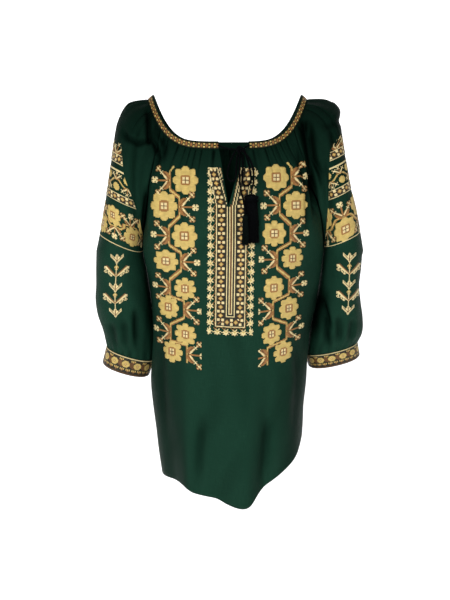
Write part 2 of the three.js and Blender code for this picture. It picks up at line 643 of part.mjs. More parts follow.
/** One strand: a four-sided taper that starts inside the head and hangs below it. */
function tasselStrand(angle, ring, length, lean) {
  const geometry = new THREE.CylinderGeometry(1.05, 0.7, length, 4, 1).rotateX(Math.PI / 2);
  const position = geometry.attributes.position;
  for (let i = 0; i < position.count; i += 1) {
    const below = length / 2 - position.getZ(i);
    const out = ring * (1 + (lean * below) / length);
    position.setX(i, position.getX(i) + out * Math.cos(angle));
    position.setY(i, position.getY(i) + out * Math.sin(angle) * 0.7);
    position.setZ(i, -10 - below);
  }
  return geometry;
}

/** A tassel: strands that stand apart below one head, with their roots fused into it. */
function tassel(name, place, length, radius, strands) {
  let solid = solidOf(tasselHead(radius));
  for (let i = 0; i < strands; i += 1) {
    const outer = i % 3 !== 0;
    const angle = i * 2.39996;
    const long = length - 10 - 3 * Math.abs(Math.sin(5 * i));
    solid = solid.add(solidOf(tasselStrand(angle, outer ? radius * 0.74 : radius * 0.25, long, outer ? 0.4 : 0.3)));
  }
  const mesh = meshOf(name, geometryOf(solid), colours.cord);
  mesh.position.set(...place);
  mesh.rotation.x = rad(-3.5);
  return mesh;
}

/** The knot that ties the two cords over the slit. */
function tieKnot() {
  const geometry = new THREE.SphereGeometry(knot.radius, 10, 7);
  geometry.scale(1, 0.62, 0.95);
  const mesh = meshOf('tie_knot', geometry, colours.cord);
  mesh.position.set(knot.x, knot.y, knot.z);
  return mesh;
}

// ---------------------------------------------------------------- the blouse
const blouse = new THREE.Group();
blouse.add(frontPanel(), backPanel());
blouse.add(sleevePanel('sleeve_left', 'sleeveRight'), sleevePanel('sleeve_right', 'sleeveLeft'));
blouse.add(neckBand());
blouse.add(cuffRing('cuff_left', 'sleeveRight'), cuffRing('cuff_right', 'sleeveLeft'));

const tie = new THREE.Group();
for (const [name, route] of Object.entries(cordRoutes)) tie.add(cordTube(name, route));
tie.add(tieKnot());
tie.add(tassel('tassel_right', [33.7, -130.2, -131.8], 66, 10, 24));
tie.add(tassel('tassel_left', [24.7, -142.4, -160.8], 46, 4.6, 12));
blouse.add(tie);

export default blouse;
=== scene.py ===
"""An embroidered peasant blouse: gathered dark green cloth, gold and copper stitching, a tie with tassels."""

import bpy
import numpy as np
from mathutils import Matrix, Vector


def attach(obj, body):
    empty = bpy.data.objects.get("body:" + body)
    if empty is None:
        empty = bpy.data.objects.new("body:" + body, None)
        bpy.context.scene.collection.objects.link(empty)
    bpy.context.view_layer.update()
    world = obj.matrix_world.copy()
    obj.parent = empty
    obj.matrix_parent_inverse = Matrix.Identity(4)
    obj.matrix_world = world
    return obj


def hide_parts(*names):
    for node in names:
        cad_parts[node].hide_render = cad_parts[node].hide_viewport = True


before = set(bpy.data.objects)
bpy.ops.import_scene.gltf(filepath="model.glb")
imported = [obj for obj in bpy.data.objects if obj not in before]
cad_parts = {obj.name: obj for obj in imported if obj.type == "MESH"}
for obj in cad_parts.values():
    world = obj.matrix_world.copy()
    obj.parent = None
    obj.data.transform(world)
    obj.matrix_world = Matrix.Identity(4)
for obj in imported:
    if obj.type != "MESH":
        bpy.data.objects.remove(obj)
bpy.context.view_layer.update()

bl_info = {
    "name": "Embroidered Peasant Blouse",
    "version": (1, 0, 0),
    "blender": (4, 5, 0),
    "location": "3D View > Sidebar > Blouse",
    "description": "Builds a gathered blouse with stitched bands, a tie and tassels, and its studio",
    "category": "Object",
}

MM = 0.001
BODY = "root"

# ---------------------------------------------------------------- driving dimensions, in millimetres
ARMPIT_DROP = 232
RAGLAN_ANGLE = 55
SHOULDER_DROP = {"right": -2, "left": 8}
NECK = dict(middle=-2, half=128, front=88, back=82, front_z=-66, back_z=-69, peak_z=11, flat=4.7)
BAND = dict(height=12, open_from=-6.3, open_to=15, stand_front=0.2, stand_side=1.1)
SLIT = dict(middle=0.027, left=0.08, right=0.078, end_drop=152)
CUFF_HEIGHT = {"sleeve_left": 25, "sleeve_right": 31}
CUFF_TAPER = 0.03
BODY_MIDDLE_Y = -12
HEM_MIDDLE_DROP = 633
PROBE = 0.004
# width of a body panel and of a sleeve where their seams are eased
BODY_WIDTH, SLEEVE_WIDTH = 330, 200
# painted shade in the cloth's colour: the share of the colour left at the neck and the drops over which that
# darkening fades, how far painted shadow darkens creases and fold hollows, and how far painted shade darkens the
# sides of the hips, with the drops and the turn of the surface there
SHADING = dict(
    at_neck=0.3, neck_drops=(10, 215), crease=0.8, fold_shadow=0.94, hip=0.45, hip_drops=(330, 480),
    hip_turn=(0.25, 0.8),
)
# how far stitches reach into the cloth, their height beside bare cloth, and the painted shade on their sides: the
# share of the threads' mean colour that they take
STITCH_SUNK, STITCH_EDGE, STITCH_SIDE_SHADE = 0.25, 0.35, 0.6
# size from which a sprig ends in whole flowers
LARGE_SPRIG = 0.7
# the radians that a cord's ply turns through in a metre, along and round
PLY_RATE = 1400
# a laid cord: corners round it, plies, and the length in metres of one turn; the points of the knot's line
TUBE_SIDES, TUBE_PLIES, TUBE_TURN = 15, 3, 0.0085
KNOT_POINTS = 180
GOLDEN_ANGLE = 2.39996
# half the thickness of neckband and cuffs, and how dark their cloth's colour lies
BAND_HALF, BAND_SHADE = 1.2, 0.35
# stitches of the neckband: pitch along it and rows; of the cuffs: pitch, rows and the repeat of a flower
NECK_PITCH, NECK_ROWS = 1.38, 8
CUFF_PITCH, CUFF_ROWS, CUFF_REPEAT = 1.36, 18, 14

# drop, reach to -X, reach to +X, depth in front, depth behind, squareness
BODY_RINGS = np.array([
    (232, 140, 155, 113, 107, 2.45), (262, 134, 152, 111, 106, 2.4), (292, 129.5, 148, 109, 105, 2.35),
    (322, 126.5, 143.5, 108, 104, 2.3), (352, 125.3, 137, 107, 104, 2.3), (380, 125, 133.5, 107, 104, 2.3),
    (410, 127, 131, 108, 105, 2.3), (450, 129.5, 129.5, 110, 106, 2.3), (490, 126.5, 126, 111, 107, 2.3),
    (530, 122, 125, 111, 108, 2.3), (570, 118, 122, 111, 108, 2.3), (645, 108, 112, 108, 105, 2.3),
])
# angle from the front middle towards +X, drop of the hem
HEM_LINE = np.array([
    (-180, 612), (-135, 614), (-90, 609), (-60, 604), (-40, 604), (-28, 615), (-12, 622), (0, 633), (11, 638),
    (18, 634), (25, 618), (33, 604), (47, 583), (68, 553), (90, 541), (120, 574), (150, 602), (180, 612),
], float)
# drop, inner line, outer line, depth in front, depth behind, middle y, lift for each millimetre outwards
SLEEVE_RINGS = {
    "sleeve_left": np.array([
        (232, 158, 219, 50, 80, -12, 0), (262, 155.5, 218, 50, 78, -9, 0.03), (292, 152, 216.5, 50, 74, -4, 0.06),
        (322, 146, 221, 51, 68, 4, 0.1), (352, 138.8, 226, 52, 61, 11, 0.14), (380, 135.5, 226.5, 50, 55, 16, 0.18),
        (402, 132.5, 219, 44, 46, 21, 0.24),
    ]),
    "sleeve_right": np.array([
        (232, 143, 217, 50, 80, -12, 0), (262, 137.5, 218.5, 51, 78, -9, 0.03), (292, 133, 220, 51, 74, -4, 0.07),
        (322, 129, 222.5, 51, 68, 4, 0.12), (352, 127, 220, 51, 61, 11, 0.18), (382, 127, 212, 49, 54, 16, 0.24),
        (411, 128.5, 207, 43, 45, 21, 0.3),
    ]),
}
# place round the yoke (0 front middle, 1 front raglan seam, 2 shoulder top, 3 back seam, 4 back middle),
# then the curve's two handles: out, fore and up from the neckband, and out, fore and up from the armpit ring
YOKE_HANDLES = np.array([
    (0, 0, -22, -27, 0, -5, 72), (0.5, 9, -25, -29, -3, -9, 78), (0.8, 13, -29, -38, -5, -32, 92),
    (1, 8, -28, -45, -7, -62, 96), (1.25, 28, -35, -20, 2, -32, 128), (1.5, 42, -35, -6, -10, -12, 165),
    (1.75, 62, -18, 1, -40, -4, 218), (2, 72, 0, 3, -57, 2, 236), (2.25, 62, 20, 1, -40, 4, 218),
    (2.5, 42, 38, -6, -10, 4, 165), (2.75, 28, 36, -20, 2, 26, 128), (3, 8, 28, -45, -7, 60, 96),
    (3.2, 13, 24, -36, -5, 26, 92), (3.5, 9, 20, -26, -3, 6, 80), (4, 0, 16, -25, 0, 3, 75),
], float)
# count, depth and fade of the soft gathers
GATHERS = {"front": (15, 1.7, 42), "back": (15, 1.7, 42), "sleeve": (7, 1.6, 38), "cuff": (12, 1.5, 30)}
# angle, spread, depth of the long folds that open towards the hem
HEM_FOLDS = [
    (-150, 11, 7), (-112, 10, 6), (-52, 9, -5), (-33, 7, 5), (-8, 8, -4), (13, 8, 6), (31, 7, -6), (56, 11, 5),
    (105, 11, -5), (140, 12, 7), (178, 11, -5),
]
# across at the start and end, down at the start and end, spread, depth outwards
CREASES = {
    "front": [
        (0.93, 0.935, 0.1, 0.95, 0.018, -5), (0.87, 0.885, 0.05, 0.8, 0.025, 4), (0.12, 0.08, 0.1, 0.8, 0.03, -3),
    ],
    "sleeve_left": [
        (0.12, 0.11, 0.06, 0.85, 0.03, -7), (0.2, 0.19, 0.08, 0.95, 0.04, 5), (0.5, 0.5, 0.42, 0.88, 0.2, -7.5),
        (0.5, 0.5, 0.82, 1.04, 0.2, 3), (0.5, 0.5, 0.27, 0.5, 0.2, 3.6), (0.5, 0.5, 0.36, 0.8, 0.2, 2.6),
    ],
    "sleeve_right": [
        (0.86, 0.89, 0.1, 0.75, 0.035, -5), (0.78, 0.82, 0.1, 0.95, 0.05, 4), (0.5, 0.5, 0.2, 0.5, 0.2, -2),
    ],
    "back": [],
}

# deep folds seen from the front: depth, darkness of the painted shadow inside the fold, half width, whether each end
# tapers, then x and z along the line
FOLD_LINES = [
    (12, 1, 5.6, 0, 1, ((117, -26), (120, -50), (127.5, -88), (132.3, -127), (134, -166), (136, -190))),
    (11, 1, 5, 1, 1, ((125, -12), (128, -45), (134.6, -81), (145, -106), (148, -140))),
    (4.5, 0.8, 4, 1, 1, ((108, -48), (111, -90), (119, -130), (122, -175), (120, -215))),
    (3.5, 0.54, 5, 1, 1, ((160, -30), (165, -60), (163, -95))),
    (3.2, 0.49, 5, 1, 1, ((186, -18), (160, -30), (142, -34))),
    (6, 1, 3.6, 1, 0, ((-127.8, 2), (-125.9, -29), (-125, -54))),
    (5, 0.77, 3.4, 1, 0, ((-170, -34), (-158, -50), (-142, -57.5), (-125, -53))),
    (6, 0.92, 3.6, 1, 1, ((-125, -40), (-114, -62), (-109.5, -78), (-119, -108))),
    (4, 0.75, 4.5, 1, 1, ((-108, -38), (-100, -62), (-104, -92))),
    (4, 0.62, 4.5, 1, 1, ((-129, -118), (-133, -160), (-137, -215))),
    # depth 0: no fold, only painted shadow in the gaps between the sleeves and the body
    (0, 1, 13, 1, 1, ((151, -276), (149, -310), (144, -345), (139, -396))),
    (0, 0.85, 6, 1, 1, ((-131, -250), (-130, -320), (-129, -396))),
    (7, 1, 5, 1, 1, ((150, -300), (158, -330), (170, -372))),
    (6, 0.92, 5, 1, 1, ((157, -322), (165, -402))),
    (4, 0.62, 5, 1, 1, ((180, -330), (184, -392))),
    (3.5, 0.54, 5, 1, 1, ((205, -338), (201, -392))),
    (5, 0.77, 5, 1, 1, ((-152, -318), (-153, -404))),
    (3.5, 0.54, 5, 1, 1, ((-172, -338), (-170, -404))),
    (3.5, 0.54, 5, 1, 1, ((-195, -345), (-188, -402))),
    (3, 0.46, 6, 1, 1, ((-40, -470), (-46, -540), (-50, -612))),
    (3, 0.46, 6, 1, 1, ((62, -480), (60, -540), (52, -600))),
    (3, 0.46, 7, 1, 1, ((-104, -330), (-108, -420), (-100, -560))),
    (3, 0.46, 7, 1, 1, ((108, -350), (112, -430), (104, -540))),
]


# ---------------------------------------------------------------- the cloth's formulas
def vec(x, y, z):
    """Points from three arrays of coordinates."""
    return np.stack(np.broadcast_arrays(x, y, z), axis=-1).astype(float)


def unit(v):
    """Vectors brought to length 1."""
    return v / np.maximum(np.linalg.norm(v, axis=-1, keepdims=True), 1e-12)


def smoothstep(x, low, high):
    """0 below low and 1 above high; t squared times 3 minus 2t between them."""
    t = np.clip((x - low) / (high - low), 0, 1)
    return t * t * (3 - 2 * t)


def bump(distance, spread):
    """A soft bump of height 1: e to the minus square of distance over spread."""
    return np.exp(-((distance / spread) ** 2))


def read_table(rows, place):
    """A table's columns at any places: a cubic with the slopes of its neighbours between each two rows."""
    key, last = rows[:, 0], len(rows) - 1
    at = np.clip(place, key[0], key[-1])
    i = np.clip(np.searchsorted(key[1:], at, side="left"), 0, last - 1)
    before, after = np.maximum(i - 1, 0), np.minimum(i + 2, last)
    a, b = rows[i], rows[i + 1]
    span = (key[i + 1] - key[i])[..., None]
    t = (at - key[i])[..., None] / span
    slope_a = (b - rows[before]) / (key[i + 1] - key[before])[..., None] * span
    slope_b = (rows[after] - a) / (key[after] - key[i])[..., None] * span
    rise = b - a
    read = a + t * (slope_a + t * (3 * rise - 2 * slope_a - slope_b + t * (slope_a + slope_b - 2 * rise)))
    return np.moveaxis(read, -1, 0)[1:]


def ring_reach(angle, right, left, front, back, squareness):
    """Superellipse radius in the direction of an angle, with its own half size to each of four sides."""
    across = np.abs(np.sin(angle) / np.where(np.sin(angle) < 0, left, right))
    deep = np.abs(np.cos(angle) / np.where(np.cos(angle) > 0, front, back))
    return (across**squareness + deep**squareness) ** (-1 / squareness)


def neck_seam(angle):
    """The closed curve where the gathered cloth meets the neckband; degrees from the front middle."""
    s, c = np.sin(np.radians(angle)), np.cos(np.radians(angle))
    low = np.where(c > 0, NECK["front_z"], NECK["back_z"])
    y = -c * np.where(c > 0, NECK["front"], NECK["back"])
    return vec(NECK["middle"] + NECK["half"] * s, y, low + (NECK["peak_z"] - low) * np.abs(s) ** NECK["flat"])


def body_tube(angle, fall):
    """The body below the armpits: a superellipse in each level ring, with folds that open towards the hem."""
    turned = (angle + 180) % 360 - 180
    drop = ARMPIT_DROP + (read_table(HEM_LINE, turned)[0] - ARMPIT_DROP) * fall
    left, right, front, back, squareness = read_table(BODY_RINGS, drop)
    a = np.radians(turned)
    folded = sum(
        depth * bump(np.minimum(np.abs(turned - at), 360 - np.abs(turned - at)), spread)
        for at, spread, depth in HEM_FOLDS
    )
    reach = ring_reach(a, right, left, front, back, squareness) + folded * smoothstep(fall, 0.25, 1.15)
    return vec(reach * np.sin(a), BODY_MIDDLE_Y - reach * np.cos(a), -drop)


def sleeve_tube(rings, share, fall):
    """A sleeve below the armpit as on the +X side: tilted superellipse rings."""
    drop = rings[0, 0] + (rings[-1, 0] - rings[0, 0]) * fall
    inner, outer, front, back, middle_y, lift = read_table(rings, drop + 0 * share)
    a = np.radians(360 * share - 90)
    half = (outer - inner) / 2
    reach = ring_reach(a, half, half, front, back, 2.2)
    out = reach * np.sin(a)
    return vec((outer + inner) / 2 + out, middle_y - reach * np.cos(a), -drop + lift * out)


def yoke_curve(place, side, top, bottom, t, lowered):
    """A cubic Bezier curve from the neckband's seam to the armpit ring."""
    neck_out, neck_fore, neck_up, ring_out, ring_fore, ring_up = read_table(YOKE_HANDLES, place)
    lower = lowered * bump(place - 2, 0.6)
    a = top + vec(side * neck_out, neck_fore, neck_up - lower)
    b = bottom + vec(side * ring_out, ring_fore, ring_up - lower)
    t = np.asarray(t, float)[..., None]
    u = 1 - t
    return u**3 * top + 3 * u * u * t * a + 3 * u * t * t * b + t**3 * bottom


def trunk_form(middle_angle, m, down):
    """The front or the back: m runs from -1 to 1 across it, down from 0 to 1 in the yoke and on to 2 at the hem."""
    front = middle_angle == 0
    turned = m if front else -m
    ring_angle, neck_angle = middle_angle + 90 * turned, middle_angle + RAGLAN_ANGLE * turned
    place = np.abs(m) if front else 4 - np.abs(m)
    lowered = np.where(m < 0, SHOULDER_DROP["left"], SHOULDER_DROP["right"])
    yoke = yoke_curve(
        place, np.sign(m), neck_seam(neck_angle), body_tube(ring_angle, 0.0 * m), np.clip(down, 0, 1), lowered
    )
    body = body_tube(ring_angle, np.maximum(down - 1, 0))
    return np.where((down > 1)[..., None], body, yoke)


def front_form(share, down):
    """The front: share runs from its seam on -X to the one on +X."""
    return trunk_form(0, 2 * share - 1, down)


def back_form(share, down):
    """The back: share runs from its seam on +X to the one on -X."""
    return trunk_form(180, 1 - 2 * share, down)


def sleeve_form(rings, middle_x, lowered, share, down):
    """A sleeve as on the +X side: share 0 is its front seam or inner line, 1 its back seam."""
    top = neck_seam(RAGLAN_ANGLE + (180 - 2 * RAGLAN_ANGLE) * share)
    top[..., 0] += middle_x - NECK["middle"]
    yoke = yoke_curve(
        1 + 2 * share, 1.0, top, sleeve_tube(rings, share, 0.0 * share), np.clip(down, 0, 1), lowered + 0 * share
    )
    tube = sleeve_tube(rings, share, np.maximum(down - 1, 0))
    return np.where((down > 1)[..., None], tube, yoke)


def left_sleeve_form(share, down):
    """The sleeve on +X."""
    return sleeve_form(SLEEVE_RINGS["sleeve_left"], NECK["middle"], SHOULDER_DROP["right"], share, down)


def right_sleeve_form(share, down):
    """Made as the other sleeve and mirrored into place."""
    form = sleeve_form(SLEEVE_RINGS["sleeve_right"], -NECK["middle"], SHOULDER_DROP["left"], 1 - share, down)
    return form * np.array([-1, 1, 1])


BODY_SPAN = 2 * RAGLAN_ANGLE
SLEEVE_SPAN = 180 - BODY_SPAN
# each panel's form, its neighbours in order round the neck, its first angle there and its span
PANELS = {
    "front": (front_form, "sleeve_right", "sleeve_left", -RAGLAN_ANGLE, BODY_SPAN),
    "sleeve_left": (left_sleeve_form, "front", "back", RAGLAN_ANGLE, SLEEVE_SPAN),
    "back": (back_form, "sleeve_left", "sleeve_right", 180 - RAGLAN_ANGLE, BODY_SPAN),
    "sleeve_right": (right_sleeve_form, "back", "front", 180 + RAGLAN_ANGLE, SLEEVE_SPAN),
}


def is_sleeve(name):
    return name.startswith("sleeve")


def form_around(name, share, down):
    """A panel's form just past its edges: the next panel in the yoke, the rest of its own ring below."""
    form, before, after, _, _ = PANELS[name]
    inside = form(np.clip(share, 0, 1), down)
    if np.all((share >= 0) & (share <= 1)):
        return inside
    wrapped = share % 1
    ring = name if is_sleeve(name) else ("back" if name == "front" else "front")
    low = PANELS[ring][0](wrapped, down)
    early, late = PANELS[before][0](wrapped, down), PANELS[after][0](wrapped, down)
    yoke = np.where((share < 0)[..., None], early, late)
    outside = np.where((down >= 1)[..., None], low, yoke)
    return np.where(((share < 0) | (share > 1))[..., None], outside, inside)


def length_down(form, share, start, end):
    """Length of a panel's line between two places down it, in six straight steps."""
    steps = [form(share, start + (end - start) * i / 6) for i in range(7)]
    return sum(np.linalg.norm(b - a, axis=-1) for a, b in zip(steps, steps[1:]))


def gather_wave(share, count):
    """A cosine of a number of waves across, stretched by a slower sine and made uneven in height by another."""
    uneven = 0.75 + 0.25 * np.sin(17 * share + 1.3)
    return uneven * np.cos(2 * np.pi * count * share + 0.7 * np.sin(9 * share))


def fine_folds(name, share, down, from_neck, from_end):
    """Small gathers between the large ones, held in the seams, and faint wrinkles across the cloth."""
    count = 9 if is_sleeve(name) else 19
    turn = np.sin(np.pi * (count + 0.37) * share + 1.3 * np.sin(23 * share))
    long = 0.55 + 0.45 * np.sin(41 * share + 2)
    fan = 0.5 - 1.5 * np.exp(-((turn / 0.34) ** 2))
    small = 2.1 * np.exp(-from_neck / (16 + 44 * long)) * np.clip(from_neck / 4, 0.15, 1) * fan
    slack = 0.35 * np.sin(31 * share + 5.3 * down + 1.9 * np.sin(7 * down)) * np.sin(11 * share - 4 * down + 0.6)
    if is_sleeve(name):
        low = 0.7 * np.exp(-from_end / 16) * np.clip(from_end / 4, 0.15, 1)
        return small + slack + low * np.sin(2 * np.pi * 23 * share + 1.7 * np.sin(19 * share))
    return small + slack


def fold_height(name, share, down, from_neck, from_end):
    """How far the cloth stands from its smooth form."""
    count, depth, fade = GATHERS.get(name, GATHERS["sleeve"])
    inside = np.clip(share, 0, 1)
    seam_ease = np.sqrt(np.abs(np.sin(np.pi * inside)))
    held = 0.4 + 0.6 * np.minimum(1, from_neck / 9)
    height = depth * held * np.exp(-from_neck / fade) * gather_wave(share, count)
    for across_start, across_end, down_start, down_end, spread, deep in CREASES[name]:
        along = np.clip((down - down_start) / (down_end - down_start), 0, 1)
        middle = across_start + (across_end - across_start) * along
        height = height + deep * np.sin(np.pi * along) * bump(share - middle, spread)
    if is_sleeve(name):
        count, depth, fade = GATHERS["cuff"]
        low = depth * np.exp(-from_end / fade) * gather_wave(share, count) * np.minimum(1, from_end / 6 + 0.4)
        height = height + np.where(down > 1, low, 0)
    height = height + fine_folds(name, share, down, from_neck, from_end)
    width = SLEEVE_WIDTH if is_sleeve(name) else BODY_WIDTH
    sewn = smoothstep(np.minimum(inside, 1 - inside) * width, 0, 3)
    open_seam = (down < 1) | (not is_sleeve(name))
    return seam_ease * height - np.where(open_seam, 0.55 * (1 - sewn), 0)


def fold_lines(point, normal):
    """Deep folds drawn as lines seen from the front: across each one the depth is e to the minus square of the
    distance over its half width, and a soft ridge stands on both its sides. Gives the height, and the painted shadow
    inside each fold, from 0 to 1."""
    x, z = point[..., 0], point[..., 2]
    height, fold_shadow = np.zeros(x.shape), np.zeros(x.shape)
    facing = smoothstep(-normal[..., 1], -0.1, 0.2)
    for depth, dark, width, taper_start, taper_end, line in FOLD_LINES:
        line = np.array(line, float)
        runs = np.hypot(*np.diff(line, axis=0).T)
        starts = np.r_[0, np.cumsum(runs)]
        nearest, along = np.full(x.shape, 1e9), np.zeros(x.shape)
        for (x0, z0), (x1, z1), run, start in zip(line, line[1:], runs, starts):
            t = np.clip(((x - x0) * (x1 - x0) + (z - z0) * (z1 - z0)) / run**2, 0, 1)
            away = np.hypot(x - x0 - t * (x1 - x0), z - z0 - t * (z1 - z0))
            closer = away < nearest
            nearest, along = np.where(closer, away, nearest), np.where(closer, start + t * run, along)
        share = along / starts[-1]
        held = np.where(taper_start, smoothstep(share, 0, 0.3), 1)
        held = held * np.where(taper_end, 1 - smoothstep(share, 0.6, 1), 1)
        valley = bump(nearest, width)
        height += depth * held * facing * (0.18 * bump(nearest - 2.4 * width, 1.2 * width) - valley)
        # painted shadow inside the fold, reaching wider than the fold itself
        fold_shadow = np.maximum(fold_shadow, dark * held * facing * bump(nearest, 1.4 * width))
    return height, fold_shadow


def band_point(angle, height):
    """A point of the neckband: the seam's curve carried up and inwards."""
    s, c = np.sin(np.radians(angle)), np.cos(np.radians(angle))
    inward = BAND["stand_front"] + (BAND["stand_side"] - BAND["stand_front"]) * np.abs(s) ** 3
    stand = unit(vec(-s * inward, c * inward, 1 + 0 * s))
    return neck_seam(angle) + stand * np.asarray(height, float)[..., None]


def band_normal(angle):
    """Across the neckband, away from the neck."""
    across = band_point(angle + 0.3, 0 * angle) - band_point(angle - 0.3, 0 * angle)
    return unit(np.cross(across, band_point(angle, 0 * angle + 1) - band_point(angle, 0 * angle)))


def cuff_frame(form, share):
    """A cuff's middle, the way it hangs and the way it is thick, at shares of its ring."""
    end = 0 * share + 2.0
    across = unit(form((share + PROBE) % 1, end) - form((share - PROBE) % 1, end))
    first, opposite = form(np.array(0.0), np.array(2.0)), form(np.array(0.5), np.array(2.0))
    foot = unit(np.cross([0, 1, 0], unit(first - opposite)))
    foot = foot if foot[2] < 0 else -foot
    return (first + opposite) / 2, foot, unit(np.cross(foot, across))


def cuff_point(name, share, height):
    """A point of a cuff's middle surface and its direction outwards; height is measured down from the seam."""
    form = PANELS[name][0]
    middle, foot, normal = cuff_frame(form, share)
    narrow = 1 - CUFF_TAPER * height / CUFF_HEIGHT[name]
    point = (form(share, 0 * share + 2.0) - middle) * narrow[..., None] + middle
    return point + foot * height[..., None], normal


def cloth_sheet(name, share, down, lift):
    """Points of a panel, with folds, a lift away from its middle surface, the direction outwards, and a painted shade
    from 0 to 1 that the cloth's colour is multiplied by: darker towards the neck, painted shadow in the creases of
    the gathers and inside the deep folds, and painted shade on the turned sides of the hips."""
    form, _, _, neck_from, neck_span = PANELS[name]
    share, down = np.broadcast_arrays(np.asarray(share, float), np.asarray(down, float))
    point = form(np.clip(share, 0, 1), down)
    across = unit(form_around(name, share + PROBE, down) - form_around(name, share - PROBE, down))
    up, low = np.maximum(down - PROBE, 0), np.minimum(down + PROBE, 2)
    along = unit(form_around(name, share, low) - form_around(name, share, up))
    normal = unit(np.cross(along, across))
    normal = np.where((down <= 0)[..., None], band_normal(neck_from + neck_span * share), normal)
    if is_sleeve(name):
        normal = np.where((down >= 2)[..., None], cuff_frame(form, share)[2], normal)
    from_neck = np.where(down < 1, length_down(form, share, 0 * down, np.minimum(down, 1)), 1000)
    from_end = np.where(down > 1, length_down(form, share, np.maximum(down, 1), 0 * down + 2), 1000)
    near_seam = smoothstep(from_neck, 0, 12) * smoothstep(from_end, 0, 6)
    lines, fold_shadow = fold_lines(point, normal)
    height = fold_height(name, share, down, from_neck, from_end) + lines * near_seam + lift
    # painted shade: the cloth darker towards the neck, painted shadow in the creases and inside the deep folds, and
    # painted shade on the turned sides of the hips
    crease_shadow = np.clip(-fine_folds(name, share, down, from_neck, from_end) / 1.5, 0, 1)
    drop, least = -point[..., 2], SHADING["at_neck"]
    hips = smoothstep(drop, *SHADING["hip_drops"]) * smoothstep(np.abs(normal[..., 0]), *SHADING["hip_turn"])
    shade = least + (1 - least) * smoothstep(drop, *SHADING["neck_drops"])
    shade = shade * (1 - SHADING["crease"] * crease_shadow) * (1 - SHADING["fold_shadow"] * fold_shadow)
    shade = shade * (1 - SHADING["hip"] * hips * (not is_sleeve(name)))
    return point + normal * np.asarray(height)[..., None], normal, shade


def cloth_point(name, share, down, lift):
    """A panel's points and the directions outwards."""
    return cloth_sheet(name, share, down, lift)[:2]


def slit_shares(down, end):
    """Where the slit's two edges stand across the front, down to the place where it ends."""
    gape = np.maximum(0, 1 - down / end)
    middle = 0.5 + SLIT["middle"] * gape
    return middle - SLIT["left"] * gape, middle + SLIT["right"] * gape


def slit_end():
    """How far down the front the slit ends: where the middle line reaches the slit's drop."""
    down = np.arange(0, 1, 0.004)
    z = front_form(np.full_like(down, 0.5), down)[:, 2]
    return float(np.interp(SLIT["end_drop"], -z, down))


# ---------------------------------------------------------------- meshes
def put_mesh(name, points, faces, material, uv=None, colours=None, shade=None):
    """A mesh object of points in millimetres; uv and shade are a value a point, colours a value a face."""
    mesh = bpy.data.meshes.new(name)
    points, faces = np.asarray(points, float), np.asarray(faces)
    mesh.from_pydata((points * MM).tolist(), [], faces.tolist())
    mesh.polygons.foreach_set("use_smooth", np.full(len(faces), True))
    if uv is not None:
        layer = mesh.uv_layers.new(name="cloth")
        layer.data.foreach_set("uv", np.asarray(uv, float)[faces.ravel()].ravel())
    if colours is not None:
        attribute = mesh.color_attributes.new("thread", "FLOAT_COLOR", "CORNER")
        tinted = np.c_[colours, np.ones(len(colours))]
        attribute.data.foreach_set("color", np.repeat(tinted, faces.shape[1], axis=0).ravel())
    if shade is not None:
        attribute = mesh.color_attributes.new("shade", "FLOAT_COLOR", "POINT")
        attribute.data.foreach_set("color", np.repeat(np.asarray(shade, float), 4))
    mesh.update()
    piece = bpy.data.objects.new(name, mesh)
    bpy.context.scene.collection.objects.link(piece)
    mesh.materials.append(material)
    return piece


def rim_faces(faces, count):
    """Faces that close a doubled sheet along its free edges: an edge is free where no face runs back along it."""
    start = faces.ravel()
    end = np.roll(faces, -1, axis=1).ravel()
    keys, back = start * count + end, end * count + start
    free = ~np.isin(keys, back)
    p, q = start[free], end[free]
    return np.c_[q, p, p + count, q + count]


def doubled(outer, inner, faces):
    """A closed wall from two faces of a sheet: the outside, the inside turned over, and the rim."""
    count = len(outer)
    both = np.vstack([outer, inner])
    return both, np.vstack([faces, faces[:, ::-1] + count, rim_faces(faces, count)])


def grid_faces(ids):
    """Four-sided faces of a grid of vertex numbers, rows going down and columns to the right from outside."""
    return np.stack([ids[:-1, :-1], ids[1:, :-1], ids[1:, 1:], ids[:-1, 1:]], axis=-1).reshape(-1, 4)


def compact(points, faces, *extra):
    """Leaves out the points that no face uses."""
    used, flat = np.unique(faces, return_inverse=True)
    return (points[used], flat.reshape(faces.shape), *[e[used] for e in extra])


